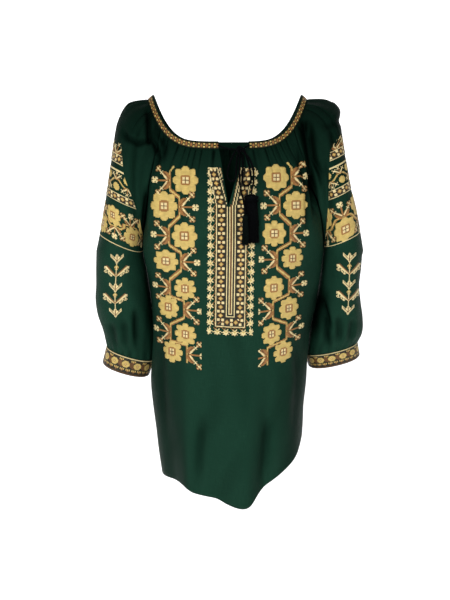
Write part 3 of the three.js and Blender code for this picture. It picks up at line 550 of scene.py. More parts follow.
def panel_piece(name, down, columns, material, walls, slit):
    """A panel of cloth: share runs across it and down from the neckband to its lower edge."""
    share = np.linspace(0, 1, columns + 1)
    grid_share, grid_down = np.meshgrid(share, down)
    ids = np.arange(grid_share.size).reshape(grid_share.shape)
    if slit:
        half, end = columns // 2, slit_end()
        left_edge, right_edge = slit_shares(down, end)
        left = share[: half + 1] * 2 * left_edge[:, None]
        right = 1 - (1 - share[half:]) * 2 * (1 - right_edge[:, None])
        grid_share = np.hstack([left, right])
        grid_down = np.repeat(down[:, None], grid_share.shape[1], axis=1)
        ids = np.arange(grid_share.size).reshape(grid_share.shape)
        below = down >= end
        ids[below, half + 1] = ids[below, half]
        faces = np.vstack([grid_faces(ids[:, : half + 1]), grid_faces(ids[:, half + 1:])])
    else:
        if is_sleeve(name):
            ids[down >= 1, -1] = ids[down >= 1, 0]
        faces = grid_faces(ids)
    outer, normal, shade = cloth_sheet(name, grid_share, grid_down, walls[0])
    inner = outer - normal * (walls[0] + walls[1])
    middle = PANELS[name][0](grid_share, grid_down)
    across = np.cumsum(np.r_[0, np.linalg.norm(np.diff(middle[len(down) // 2], axis=0), axis=1)])
    lengths = np.linalg.norm(np.diff(middle, axis=0), axis=2).mean(axis=1)
    u, v = np.meshgrid(across, np.r_[0, np.cumsum(lengths)])
    flat = [a.reshape(-1, a.shape[-1]) for a in (outer, inner, np.stack([u, v], -1))]
    points, faces, rest, uv, shade = compact(flat[0], faces, flat[1], flat[2], shade.ravel())
    whole, closed = doubled(points, rest, faces)
    # the inside of the cloth takes 0.4 of the outside's shade: painted shadow inside the blouse
    return put_mesh(
        name + "_cloth", whole, closed, material, uv=np.vstack([uv, uv]) * MM, shade=np.r_[shade, 0.4 * shade]
    )


# ---------------------------------------------------------------- stitch charts
BARE, GOLD, COPPER, CREAM, BRONZE, BROWN = range(6)
THREAD_LETTERS = ".gkcbn"


def motif(*rows):
    """A chart: a letter a stitch, with . for bare cloth."""
    return np.array([[THREAD_LETTERS.index(letter) for letter in row] for row in rows], np.int8)


SQUARES_AND_DIAMOND = motif(
    "cccbbccc", "ccckkccc", "cccbbccc", "bbbbbbbb", "bbbkkbbb",
    "bbkggkbb", "bkggggkb", "bbkggkbb", "bbbkkbbb", "bbbbbbbb",
)
NECK_CHAIN = motif("bggbbggb", "bggbbggb", "bbbnnbbb", "bnkkkknb", "bnkkkknb", "bbbnnbbb")
LEAF_STAR = motif(
    "k.....c...", ".k....c...", "..k..cc.c.", "..kc.cccc.", ".k.ccgccc.", "k...cggccc", "n..ccgccc.", "n.cc.ccc..",
    "n....c..c.", "n....c....",
)
CROSS_FLOWER = motif(".cc.cc.", "ccc.ccc", "ccccccc", "..cgc..", "ccccccc", "ccc.ccc", ".cc.cc.")
BROWN_FLOWER = motif(".kk.kk.", "kck.kck", "kkcckkk", "..cgc..", "kkkcckk", "kck.kck", ".kk.kk.")
SMALL_CROSS = motif("c..c", ".cc.", ".cc.", "c..c")
TULIP = motif(
    "c......c......c", "cc....ccc....cc", "cnc...cnc...cnc", "ccnc.ccnccc.ncc", ".ccncccncccncc.", "..ccnccnccncc..",
    "...ccncncncc...", "....ccnnncc....", ".....ccncc.....", "......cnc......", "......ccc......", ".......c.......",
)
BUD = motif("...g...", "..ggg..", ".ggcgg.", ".gkckg.", "..kck..", "..gcg..", "...c...")
WING = motif(
    "...........nn..", "..........nkccc", ".........nkcccc", "........nkccc.c", ".......nkccccc.", "......nkccc.c..",
    ".....nkccc..ccc", "....nkccccc.c.c", "...nkccc.c.ccc.", "..nkccc.cc.....", ".nkcc.c.c......", "nkcc.ccc.......",
    "kc...cc........",
)
CUFF_FLOWER = motif("..ggggg..", ".ggggggg.", "ggggkgggg", "gggkckggg", "ggggkgggg", ".ggggggg.", "..ggggg..")
CUFF_LEAF = motif("g.g.g", "gkgkg", ".nkn.", "..n..")


class StitchChart:
    """A grid of stitches in millimetres: x runs right, y runs down."""

    def __init__(self, left, right, top, bottom, pitch):
        self.left, self.top, self.pitch = left, top, pitch
        self.cells = np.zeros((round((bottom - top) / pitch), round((right - left) / pitch)), np.int8)

    @property
    def edges(self):
        rows, columns = self.cells.shape
        return self.left + np.arange(columns + 1) * self.pitch, self.top + np.arange(rows + 1) * self.pitch

    @property
    def middles(self):
        x, y = self.edges
        return np.meshgrid((x[:-1] + x[1:]) / 2, (y[:-1] + y[1:]) / 2)

    def fill(self, mask, thread):
        self.cells[mask] = thread

    def stamp(self, shape, x, y):
        """Lays a chart's stitches with its middle at x, y."""
        rows, columns = shape.shape
        row = int(round((y - self.top) / self.pitch - rows / 2))
        column = int(round((x - self.left) / self.pitch - columns / 2))
        r0, c0 = max(row, 0), max(column, 0)
        r1, c1 = min(row + rows, self.cells.shape[0]), min(column + columns, self.cells.shape[1])
        if r0 >= r1 or c0 >= c1:
            return
        part = shape[r0 - row: r1 - row, c0 - column: c1 - column]
        under = self.cells[r0:r1, c0:c1]
        under[part > 0] = part[part > 0]

    def line(self, points, thread, width):
        """A straight run of stitches through points, a number of millimetres wide."""
        x, y = self.middles
        for (x0, y0), (x1, y1) in zip(points, points[1:]):
            dx, dy = x1 - x0, y1 - y0
            t = np.clip(((x - x0) * dx + (y - y0) * dy) / (dx * dx + dy * dy), 0, 1)
            near = np.maximum(np.abs(x - x0 - t * dx), np.abs(y - y0 - t * dy))
            self.fill(near <= width / 2, thread)

    def leaf(self, x0, y0, x1, y1, width, thread, vein):
        """A pointed leaf between two points: its half width is a sine of the way along."""
        x, y = self.middles
        dx, dy = x1 - x0, y1 - y0
        length = np.hypot(dx, dy)
        along = ((x - x0) * dx + (y - y0) * dy) / length**2
        off = np.abs((x - x0) * dy - (y - y0) * dx) / length
        inside = (along > 0) & (along < 1)
        self.fill(inside & (off <= width / 2 * np.sin(np.pi * np.clip(along, 0, 1)) ** 0.7), thread)
        self.fill(inside & (off <= self.pitch * 0.5) & (along > 0.15) & (along < 0.85), vein)


def round_flower(width, height, pitch):
    """Eight squarish lobes round a disc, with a ring two stitches wide and four squares at the heart."""
    columns, rows = (int(round(size / pitch)) | 1 for size in (width, height))
    x, y = np.meshgrid(*((np.arange(n) - (n - 1) / 2) / (n / 2) for n in (columns, rows)))
    mask = x * x + y * y < 0.7**2
    for k in range(8):
        far, size = ((0.7, 0.29), (0.77, 0.265))[k % 2]
        u, v = x - far * np.cos(k * np.pi / 4), y - far * np.sin(k * np.pi / 4)
        mask |= np.abs(u) ** 3 + np.abs(v) ** 3 < size**3
    flower = np.where(mask, GOLD, BARE).astype(np.int8)
    if columns < 15:
        return flower
    flower[(x**4 + y**4) ** 0.25 < 0.38] = COPPER
    heart = (np.abs(x) < 0.235) & (np.abs(y) < 0.235)
    flower[heart] = CREAM
    flower[heart & ((np.abs(x) < 1 / columns) | (np.abs(y) < 1 / rows))] = BROWN
    return flower


def sprig(chart, x, y, out, along, size):
    """Three stems from one place, with two broad leaves beside it, a flower at each end and crosses half way.

    out is the direction away from the vine, along the direction of the vine, both as unit steps in x and y."""
    def at(forward, side):
        return x + size * (forward * out[0] + side * along[0]), y + size * (forward * out[1] + side * along[1])

    large, thin = size > LARGE_SPRIG, 1.5 * max(size, 0.94)
    for side in (-1, 1):
        chart.leaf(*at(-1, 1.5 * side), *at(9.5, 13.5 * side), 9.5 * size, COPPER, BROWN)
    for side in (-1, 1):
        chart.line([at(1.5, 0), at(15, 14.5 * side)], CREAM, thin)
        chart.stamp(BROWN_FLOWER if large else SMALL_CROSS, *at(18.5, 18 * side))
        if large:
            chart.stamp(SMALL_CROSS, *at(12.5, 12.2 * side))
    chart.line([at(1.5, 0), at(19, 0)], COPPER, thin)
    chart.stamp(CROSS_FLOWER if large else SMALL_CROSS, *at(23.5, 0))


def flower_vine(chart, flowers, axis, size):
    """A vine that bends round flowers that stand on its two sides in turn, with a sprig opposite each.

    flowers holds the place along the vine, the place of its middle line, the side and the flower's width and
    height; axis is x or y."""
    step, path, edge = 14.3 * size, [], []
    for along, middle, side, _, _ in flowers:
        for end in (along - step, along + step):
            path.append((end, middle - side * 7.2 * size))
            edge.append((end, middle - side * 8.3 * size))

    def place(p):
        return p if axis == "x" else (p[1], p[0])

    along, middle, side = flowers[0][:3]
    tip = [(along - step - 7 * size, middle - side * size), path[0]]
    chart.line([place(p) for p in tip], GOLD, 2 * size)
    for i, (a, b) in enumerate(zip(path, path[1:])):
        chart.line([place(a), place(b)], COPPER, (1.6, 4.6)[i % 2] * size)
    chart.line([place(p) for p in edge], GOLD, 1.7 * max(size, 0.94))
    for along, middle, side, width, height in flowers:
        out = (0, -side) if axis == "x" else (-side, 0)
        way = (1, 0) if axis == "x" else (0, 1)
        sprig(chart, *place((along, middle - side * 9 * size)), out, way, size)
        chart.stamp(round_flower(width, height, chart.pitch), *place((along, middle + side * 17 * size)))


def repeat_rows(shape, count):
    """A chart repeated downwards until it has a number of rows."""
    return np.vstack([shape] * (count // len(shape) + 1))[:count]


# ---------------------------------------------------------------- charts laid on the cloth
def level_places(name, levels, across, field, zero_share, flat=False):
    """Shares and downs of a chart's grid on a panel: each level is found down every column by its field, and
    each place across is a length along that level from the zero share, or a distance in x if flat."""
    form = PANELS[name][0]
    share = np.linspace(0, 1, 161)
    down = np.linspace(0, 2, 301)
    grid_share, grid_down = np.meshgrid(share, down)
    reading = field(form(grid_share, grid_down), grid_down)
    reading = np.maximum.accumulate(reading, axis=0)
    found = np.stack([np.interp(levels, reading[:, j], down) for j in range(len(share))], axis=1)
    points = form(np.broadcast_to(share, found.shape), found)
    steps = np.diff(points, axis=1)
    steps = np.maximum(steps[..., 0], 1e-6) if flat else np.linalg.norm(steps, axis=2)
    lengths = np.hstack([np.zeros((len(levels), 1)), np.cumsum(steps, axis=1)])
    zeros = np.broadcast_to(zero_share, len(levels))
    zero = np.array([np.interp(z, share, row) for z, row in zip(zeros, lengths)])
    lengths -= zero[:, None]
    wanted = np.broadcast_to(across, (len(levels), np.shape(across)[-1]))
    out_share = np.array([np.interp(w, row, share) for w, row in zip(wanted, lengths)])
    out_down = np.array([np.interp(s, share, row) for s, row in zip(out_share, found)])
    return out_share, out_down


def stitched(name, chart, surface, threads, material, height):
    """Raised stitches: every filled cell is a block, rounded off where it meets bare cloth.

    surface gives the chart's grid of points on the cloth's outside, and the directions outwards."""
    cells = chart.cells
    filled = cells > 0
    padded = np.pad(filled, 1).astype(float)
    near = (padded[:-1, :-1] + padded[1:, :-1] + padded[:-1, 1:] + padded[1:, 1:]) / 4
    points, normals = surface
    top = points + normals * (height * (STITCH_EDGE + (1 - STITCH_EDGE) * near))[..., None]
    low = points - normals * STITCH_SUNK
    ids = np.arange(near.size).reshape(near.shape)
    faces = grid_faces(ids)[filled.ravel()]
    x, y = chart.edges
    uv = np.stack(np.meshgrid(x, y), -1).reshape(-1, 2) * MM
    top, faces, low, uv = compact(top.reshape(-1, 3), faces, low.reshape(-1, 3), uv)
    both, closed = doubled(top, low, faces)
    tints = threads[cells[filled]]
    rim = len(closed) - 2 * len(faces)
    # the sides of the stitch blocks take painted shade: a darkened mean of the threads' colours
    rim_tints = np.repeat(tints.mean(axis=0, keepdims=True) * STITCH_SIDE_SHADE, rim, axis=0)
    return put_mesh(
        name, both, closed, material, uv=np.vstack([uv, uv]), colours=np.vstack([tints, tints, rim_tints])
    )


# ---------------------------------------------------------------- settings a user would change
def colour(name, description, value):
    return bpy.props.FloatVectorProperty(
        name=name, description=description, subtype="COLOR", size=3, min=0, max=1, default=value
    )


def length(name, description, value, low, high):
    return bpy.props.FloatProperty(
        name=name, description=description, default=value, min=low, max=high, unit="LENGTH", subtype="DISTANCE",
        precision=5,
    )


class BlouseClothSettings(bpy.types.PropertyGroup):
    """Colours and finish of the dark green cloth."""

    base: colour("Cloth", "Colour of the cloth", (0.0060, 0.0250, 0.0150))
    slub: colour("Slub", "Colour of the paler threads in the weave", (0.0125, 0.0440, 0.0280))
    thread_pitch: length("Thread pitch", "Distance between two threads of the weave", 0.0005, 0.0001, 0.01)
    wall: length("Cloth face", "Distance from the sheet's middle to its outside", 0.0008, 0.0002, 0.003)


class BlouseStitchSettings(bpy.types.PropertyGroup):
    """Colours and size of the embroidery."""

    gold: colour("Gold", "Pale gold thread of the large flowers", (0.58, 0.42, 0.124))
    copper: colour("Copper", "Copper thread of stems and leaves", (0.31, 0.14, 0.036))
    cream: colour("Cream", "Cream thread of lines and squares", (0.76, 0.62, 0.31))
    bronze: colour("Bronze", "Olive bronze thread behind the bands", (0.015, 0.013, 0.004))
    brown: colour("Brown", "Brown thread of outlines", (0.12, 0.05, 0.012))
    pitch: length("Stitch", "Width of one stitch block", 0.00136, 0.0008, 0.004)
    height: length("Stitch height", "Height of the stitches above the cloth", 0.00055, 0.0001, 0.002)


class BlouseTieSettings(bpy.types.PropertyGroup):
    """The tie cord and its tassels."""

    yarn: colour("Yarn", "Colour of the cord and tassels", (0.0006, 0.0008, 0.0011))
    second: colour("Second yarn", "Colour of the other tassel's paler threads", (0.0007, 0.0022, 0.0018))
    diameter: length("Cord", "Diameter of the cord", 0.003, 0.001, 0.01)


class BlouseStageSettings(bpy.types.PropertyGroup):
    """The studio: floor, backdrop, lights and camera."""

    paper: colour("Paper", "Colour of the floor and backdrop", (0.93, 0.93, 0.93))
    floor_drop: length("Floor", "Height of the shoulders above the floor", 1.38, 0.7, 2.5)
    glow: bpy.props.FloatProperty(name="Glow", description="Light given off by the paper", default=0.75, min=0)
    key: bpy.props.FloatProperty(name="Key", description="Power of the key light", default=62, min=0, unit="POWER")
    fill: bpy.props.FloatProperty(name="Fill", description="Power of the fill light", default=8, min=0, unit="POWER")
    sky: bpy.props.FloatProperty(name="Sky", description="Strength of the even light", default=0.2, min=0)


SETTINGS = {
    "blouse_cloth": BlouseClothSettings, "blouse_stitch": BlouseStitchSettings, "blouse_tie": BlouseTieSettings,
    "blouse_stage": BlouseStageSettings,
}


# ---------------------------------------------------------------- materials
def group(name, inputs, outputs):
    """A shader node group with named sockets: each input is a kind and a default."""
    tree = bpy.data.node_groups.new(name, "ShaderNodeTree")
    for label, (kind, value) in inputs.items():
        socket = tree.interface.new_socket(name=label, in_out="INPUT", socket_type="NodeSocket" + kind)
        if value is not None:
            socket.default_value = value
    for label, kind in outputs.items():
        tree.interface.new_socket(name=label, in_out="OUTPUT", socket_type="NodeSocket" + kind)
    return tree, tree.nodes.new("NodeGroupInput"), tree.nodes.new("NodeGroupOutput")


def node(tree, kind, inputs=None, **settings):
    """A node with its settings, and its inputs joined to sockets or set to values."""
    made = tree.nodes.new(kind)
    for key, value in settings.items():
        setattr(made, key, value)
    for key, value in (inputs or {}).items():
        if isinstance(value, bpy.types.NodeSocket):
            tree.links.new(value, made.inputs[key])
        else:
            made.inputs[key].default_value = value
    return made


def math_node(tree, operation, a, b=0.0):
    """The result of one sum of two sockets or numbers."""
    return node(tree, "ShaderNodeMath", {0: a, 1: b}, operation=operation).outputs[0]


def mix_colours(tree, factor, a, b, blend="MIX"):
    """Two colours mixed by a factor: each may be a socket or a value."""
    mixed = node(tree, "ShaderNodeMix", data_type="RGBA", blend_type=blend)
    for socket, value in ((mixed.inputs[0], factor), (mixed.inputs[6], a), (mixed.inputs[7], b)):
        if isinstance(value, bpy.types.NodeSocket):
            tree.links.new(value, socket)
        else:
            socket.default_value = value
    return mixed.outputs[2]


def weave_group():
    """Plain weave: threads along and across the cloth, over and under in turn, with slubs and slow variation."""
    if "Weave" in bpy.data.node_groups:
        return bpy.data.node_groups["Weave"]
    tree, source, out = group(
        "Weave", {"Pitch": ("Float", 0.0005)}, {"Height": "Float", "Slub": "Float", "Slow": "Float"}
    )
    uv = node(tree, "ShaderNodeUVMap", uv_map="cloth").outputs[0]
    turns = math_node(tree, "DIVIDE", np.pi, source.outputs["Pitch"])
    parts = node(tree, "ShaderNodeSeparateXYZ", {0: uv})
    waves = [
        math_node(tree, "SINE", math_node(tree, "MULTIPLY", parts.outputs[axis], turns)) for axis in (0, 1)
    ]
    height = math_node(tree, "MULTIPLY", waves[0], waves[1])
    tree.links.new(height, out.inputs["Height"])
    stretched = [(60, 2600, 0), (2600, 60, 0)]
    slubs = []
    for scale in stretched:
        mapped = node(tree, "ShaderNodeMapping", {"Vector": uv, "Scale": scale}).outputs[0]
        slubs.append(node(tree, "ShaderNodeTexNoise", {"Vector": mapped, "Scale": 1.0, "Detail": 2.0}).outputs[0])
    tree.links.new(math_node(tree, "MULTIPLY", slubs[0], slubs[1]), out.inputs["Slub"])
    slow = node(tree, "ShaderNodeTexNoise", {"Vector": uv, "Scale": 14.0, "Detail": 3.0}).outputs[0]
    tree.links.new(slow, out.inputs["Slow"])
    return tree


def thread_group():
    """Satin stitches: fine ridges across each stitch block, uneven in height and tone."""
    if "Thread" in bpy.data.node_groups:
        return bpy.data.node_groups["Thread"]
    tree, source, out = group(
        "Thread", {"Tint": ("Color", (0.5, 0.5, 0.5, 1)), "Pitch": ("Float", 0.00034)},
        {"Colour": "Color", "Height": "Float", "Shade": "Float"},
    )
    uv = node(tree, "ShaderNodeUVMap", uv_map="cloth").outputs[0]
    parts = node(tree, "ShaderNodeSeparateXYZ", {0: uv})
    turns = math_node(tree, "DIVIDE", 2 * np.pi, source.outputs["Pitch"])
    ridge = math_node(tree, "SINE", math_node(tree, "MULTIPLY", parts.outputs[1], turns))
    uneven = node(tree, "ShaderNodeMapping", {"Vector": uv, "Scale": (120, 1500, 0)}).outputs[0]
    strands = node(tree, "ShaderNodeTexNoise", {"Vector": uneven, "Scale": 1.0, "Detail": 2.0}).outputs[0]
    height = math_node(tree, "ADD", math_node(tree, "MULTIPLY", ridge, 0.5), strands)
    tree.links.new(height, out.inputs["Height"])
    patches = node(tree, "ShaderNodeTexNoise", {"Vector": uv, "Scale": 160.0, "Detail": 2.0}).outputs[0]
    shade = math_node(tree, "MULTIPLY", strands, patches)
    tree.links.new(shade, out.inputs["Shade"])
    level = node(tree, "ShaderNodeMapRange", {0: shade, 1: 0.1, 2: 0.45, 3: 0.72, 4: 1.12}).outputs[0]
    toned = node(tree, "ShaderNodeVectorMath", {0: source.outputs["Tint"], 1: (1, 1, 1)}, operation="SCALE")
    tree.links.new(level, toned.inputs["Scale"])
    tree.links.new(toned.outputs[0], out.inputs["Colour"])
    return tree


def new_material(name, roughness, **constants):
    """An empty material with one Principled shader, its constants set on the shader's own sockets."""
    material = bpy.data.materials.new(name)
    material.use_nodes = True
    tree = material.node_tree
    shader = tree.nodes["Principled BSDF"]
    shader.inputs["Roughness"].default_value = roughness
    for key, value in constants.items():
        shader.inputs[key.replace("_", " ")].default_value = value
    return material, tree, shader


def bump_node(tree, shader, height, distance):
    """Joins a height to the shader's normal, raised by a distance."""
    made = node(tree, "ShaderNodeBump", {"Height": height, "Distance": distance, "Strength": 1.0})
    tree.links.new(made.outputs[0], shader.inputs["Normal"])


def cloth_material():
    """Dark green cloth: a fine plain weave with paler slubs and a green lustre."""
    if "green_cloth" in bpy.data.materials:
        return bpy.data.materials["green_cloth"]
    settings = bpy.context.scene.blouse_cloth
    material, tree, shader = new_material(
        "green_cloth", 0.6, Specular_IOR_Level=0.07, Specular_Tint=(0.2, 0.75, 0.5, 1)
    )
    weave = node(tree, "ShaderNodeGroup", node_tree=weave_group())
    weave.inputs["Pitch"].default_value = settings.thread_pitch
    slub = node(tree, "ShaderNodeMapRange", {0: weave.outputs["Slub"], 1: 0.2, 2: 0.42}).outputs[0]
    slow = node(tree, "ShaderNodeMapRange", {0: weave.outputs["Slow"], 1: 0.3, 2: 0.7, 3: 0.2, 4: 0.8}).outputs[0]
    amount = math_node(tree, "MULTIPLY", slub, slow)
    tint = mix_colours(tree, amount, (*settings.base, 1), (*settings.slub, 1))
    # the shade attribute is painted shade and shadow, multiplied into the woven colour
    shade = node(tree, "ShaderNodeVertexColor", layer_name="shade").outputs[0]
    tree.links.new(mix_colours(tree, 1.0, tint, shade, "MULTIPLY"), shader.inputs["Base Color"])
    rough = node(tree, "ShaderNodeMapRange", {0: weave.outputs["Slow"], 1: 0.3, 2: 0.7, 3: 0.55, 4: 0.66}).outputs[0]
    tree.links.new(rough, shader.inputs["Roughness"])
    bump_node(tree, shader, math_node(tree, "ADD", weave.outputs["Height"], slub), 0.00008)
    return material


def stitch_material():
    """Rayon thread: satin, each block in the colour of its thread attribute."""
    if "stitch_thread" in bpy.data.materials:
        return bpy.data.materials["stitch_thread"]
    material, tree, shader = new_material("stitch_thread", 0.5, Specular_IOR_Level=0.3)
    tint = node(tree, "ShaderNodeVertexColor", layer_name="thread").outputs[0]
    thread = node(tree, "ShaderNodeGroup", {}, node_tree=thread_group())
    tree.links.new(tint, thread.inputs["Tint"])
    tree.links.new(thread.outputs["Colour"], shader.inputs["Base Color"])
    shade = thread.outputs["Shade"]
    rough = node(tree, "ShaderNodeMapRange", {0: shade, 1: 0.1, 2: 0.45, 3: 0.58, 4: 0.4}).outputs[0]
    tree.links.new(rough, shader.inputs["Roughness"])
    bump_node(tree, shader, thread.outputs["Height"], 0.00012)
    return material


def yarn_material(name, tint):
    """Twisted yarn of the cords and tassels: slanting plies along the piece's own length."""
    if name in bpy.data.materials:
        return bpy.data.materials[name]
    material, tree, shader = new_material(name, 0.8, Specular_IOR_Level=0.04)
    uv = node(tree, "ShaderNodeUVMap", uv_map="cloth").outputs[0]
    parts = node(tree, "ShaderNodeSeparateXYZ", {0: uv})
    slant = math_node(tree, "ADD", *[math_node(tree, "MULTIPLY", parts.outputs[i], PLY_RATE) for i in (0, 1)])
    ply = math_node(tree, "ABSOLUTE", math_node(tree, "SINE", slant))
    noise = node(tree, "ShaderNodeTexNoise", {"Vector": uv, "Scale": 900.0, "Detail": 2.0}).outputs[0]
    height = math_node(tree, "ADD", ply, math_node(tree, "MULTIPLY", noise, 0.6))
    # the colour follows the plies and a noise: painted shade in the grooves between plies and painted highlight on
    # their crowns, with random tone from the noise
    level = node(tree, "ShaderNodeMapRange", {0: height, 1: 0.2, 2: 1.4, 3: 0.5, 4: 1.6}).outputs[0]
    toned = node(tree, "ShaderNodeVectorMath", {0: (*tint, )}, operation="SCALE")
    tree.links.new(level, toned.inputs["Scale"])
    tree.links.new(toned.outputs[0], shader.inputs["Base Color"])
    bump_node(tree, shader, height, 0.0002)
    return material


def thread_colours():
    """Linear colours of the threads by their number in a chart."""
    s = bpy.context.scene.blouse_stitch
    return np.array([(0, 0, 0), s.gold, s.copper, s.cream, s.bronze, s.brown], float)


def settle(piece, slot, *nodes):
    """The piece rides on the blouse and may stand for CAD nodes, which are hidden; slot is not used."""
    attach(piece, BODY)
    if nodes:
        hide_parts(*nodes)
    return piece


def embroider(name, chart, surface):
    """Stitches a chart on its surface in the scene's threads."""
    height = bpy.context.scene.blouse_stitch.height / MM
    settle(stitched(name, chart, surface, thread_colours(), stitch_material(), height), "embroidery")


def solid_colour(name, tint, roughness, glow):
    """A plain matt surface for the studio."""
    if name in bpy.data.materials:
        return bpy.data.materials[name]
    material, _, shader = new_material(name, roughness, Specular_IOR_Level=0.1, Emission_Strength=glow)
    shader.inputs["Base Color"].default_value = (*tint, 1)
    shader.inputs["Emission Color"].default_value = (*tint, 1)
    return material


# ---------------------------------------------------------------- the placket, the flower columns and the bands
# each large flower: x, z, the side of the vine that it stands on (1 is towards +X), width and height
LEFT_FLOWERS = [
    (-66, -113.5, 1, 39.5, 41), (-101, -153, -1, 40.5, 44), (-68, -198, 1, 38, 42), (-98.5, -237.5, -1, 38.5, 37),
    (-67.5, -281, 1, 34, 37), (-95, -313, -1, 33.5, 37.5), (-67, -355, 1, 32.5, 36), (-91.5, -384, -1, 32, 35.5),
]
RIGHT_FLOWERS = [
    (71.5, -108.5, -1, 39, 38.5), (103.5, -150, 1, 39.5, 40.5), (70, -193.5, -1, 36.5, 39), (99, -234, 1, 34.5, 37),
    (69, -278.5, -1, 30.5, 39.5), (94, -313, 1, 31.5, 39), (66.5, -354, -1, 29.5, 36), (86, -384, 1, 30, 35.5),
]
# the placket's axis at two drops, its foot, and how far its rows lean outwards above the place where they part
PLACKET = dict(axis=(4.6, 2.4), axis_drops=(150, 322), foot=316.5, flare_from=151.5, top=94, bottom=357)
FLARES = {"inner": 0.284, "less": 0.003, "right": 0.85, "border": 0.1}
# the sleeve's levels: chart row, and where it runs on each sleeve as a drop at 165 mm from the middle
LEVEL_SLOPE, LEVEL_REFERENCE = 0.48, 165
SLEEVE_LEVELS = {
    "rows": (0, 20, 31, 38.5, 65, 76, 132.5, 228),
    "sleeve_left": (43, 68.5, 82.7, 93.7, 129.9, 144.2, 220.9, 350.8),
    "sleeve_right": (53, 78.6, 93.5, 103.4, 140.1, 152.8, 223.7, 353.6),
}
# the front edge of the sleeve's embroidery: level and distance from the middle
SLEEVE_EDGES = {
    "sleeve_left": ((43, 184), (64, 159), (360, 157)),
    "sleeve_right": ((50, 169), (107, 164), (139, 153), (165, 143.5), (200, 139), (360, 138)),
}
# a lower flower of each sleeve's vine: x, z, the distance to the next flower, the widths of this flower and of
# the others, and the height of all
SLEEVE_VINES = {
    "sleeve_left": (185.5, -192, 37, 40, 40, 38),
    "sleeve_right": (-154.7, -205.4, 30.5, 31, 28, 33),
}
FLOWER_REPEAT = 42.7
SLEEVE_LEAN = 0.45
# tulips and wings of the strand: x and z of each, from the top
STRANDS = {
    "sleeve_left": ((193.4, -238), (194, -257), (194.4, -283), (194.8, -301), (195, -326)),
    "sleeve_right": ((-178.6, -240), (-180.5, -259.5), (-183, -288), (-184.5, -306), (-185, -331)),
}
SLEEVE_CHART_WIDTH = 196


def front_level(points, down):
    """The yoke is read by drop; the body half by drop and half by its rows, which rise towards the side seams."""
    rows = ARMPIT_DROP + (HEM_MIDDLE_DROP - ARMPIT_DROP) * (down - 1)
    return np.where(down <= 1, -points[..., 2], (rows - points[..., 2]) / 2)


def sleeve_level(points, down):
    """Level planes that rise outwards, and lie flatter below the bands."""
    drop = -points[..., 2]
    slope = LEVEL_SLOPE * (1 - 0.85 * smoothstep(drop, 226, 262))
    return drop + slope * (np.abs(points[..., 0]) - LEVEL_REFERENCE)


def lie_on(name, places, face):
    """The chart's grid of points on a panel's outside, and the directions outwards."""
    return cloth_point(name, *places, lift=face)


def nearest_place(chart, points, x, z):
    """The chart place whose point on the cloth is nearest to an x and a z, seen from in front."""
    off = (points[..., 0] - x) ** 2 + (points[..., 2] - z) ** 2 + np.where(points[..., 1] > 5, 1e6, 0)
    row, column = np.unravel_index(np.argmin(off), off.shape)
    edges_x, edges_y = chart.edges
    return float(edges_x[column]), float(edges_y[row])


def flower_column(flowers, left, right, face):
    """A vine down the front with large flowers on its two sides."""
    chart = StitchChart(left, right, 84, 425, bpy.context.scene.blouse_stitch.pitch / MM)
    x, y = chart.edges
    surface = lie_on("front", level_places("front", y, x, front_level, 0.5, True), face)
    placed = [(*nearest_place(chart, surface[0], *flower[:2]), *flower[2:]) for flower in flowers]
    vine = [(level, across - 17 * side, side, *size) for across, level, side, *size in placed]
    flower_vine(chart, vine, "y", 1.0)
    return chart, surface


def placket_chart(face):
    """Rows of stitching that run down one side of the slit, round its foot and up the other side.

    A stitch's row is the larger of its distance beside the axis and its distance below the foot. Above the place
    where the sides part, the rows near the slit lean outwards most and the outer border hardly at all."""
    p = PLACKET
    pitch = bpy.context.scene.blouse_stitch.pitch / MM
    chart = StitchChart(-32 * pitch - 22, 32 * pitch + 26, p["top"], p["bottom"], pitch)
    x, y = chart.middles
    away, rise = np.abs(x), np.maximum(0, p["flare_from"] - y)
    lean = np.where(x > 0, FLARES["right"], 1)
    beside = (away - lean * FLARES["inner"] * rise) / (1 - lean * FLARES["less"] * rise)
    border = away - np.where(x > 0, FLARES["border"], 0) * rise
    below = y - p["foot"]
    row = np.floor(np.maximum(beside, below) / pitch).astype(int)
    outer = np.floor(np.maximum(border, below) / pitch).astype(int)
    step = np.floor(np.where(below > beside, x, y) / pitch).astype(int) % 10
    chart.fill((row >= 0) & (row < 16), BRONZE)
    for at, thread in ((0, BROWN), (1, CREAM), (4, CREAM), (16, CREAM)):
        chart.fill(row == at, thread)
    chain = (row >= 7) & (row < 15)
    chart.cells[chain] = SQUARES_AND_DIAMOND[step[chain], row[chain] - 7]
    stars = (outer >= 17) & (outer < 27) & (row > 16)
    chart.cells[stars] = LEAF_STAR[step[stars], outer[stars] - 17]
    chart.fill((row > 4) & (row <= 16) & (x < 0) & (y < p["top"] + pitch), CREAM)
    edges_x, edges_y = chart.edges
    top_axis, foot_axis = p["axis"]
    axis = top_axis + (foot_axis - top_axis) * (edges_y - p["axis_drops"][0]) / np.ptp(p["axis_drops"])
    places = level_places("front", edges_y, edges_x + axis[:, None], front_level, 0.5, True)
    end = slit_end()
    left, right = slit_shares(places[1], end)
    margin = 1.5 / BODY_WIDTH
    open_here = (places[0] > left - margin) & (places[0] < right + margin) & (places[1] < end)
    near = open_here[:-1, :-1] | open_here[1:, :-1] | open_here[:-1, 1:] | open_here[1:, 1:]
    chart.cells[near] = BARE
    return chart, lie_on("front", places, face)


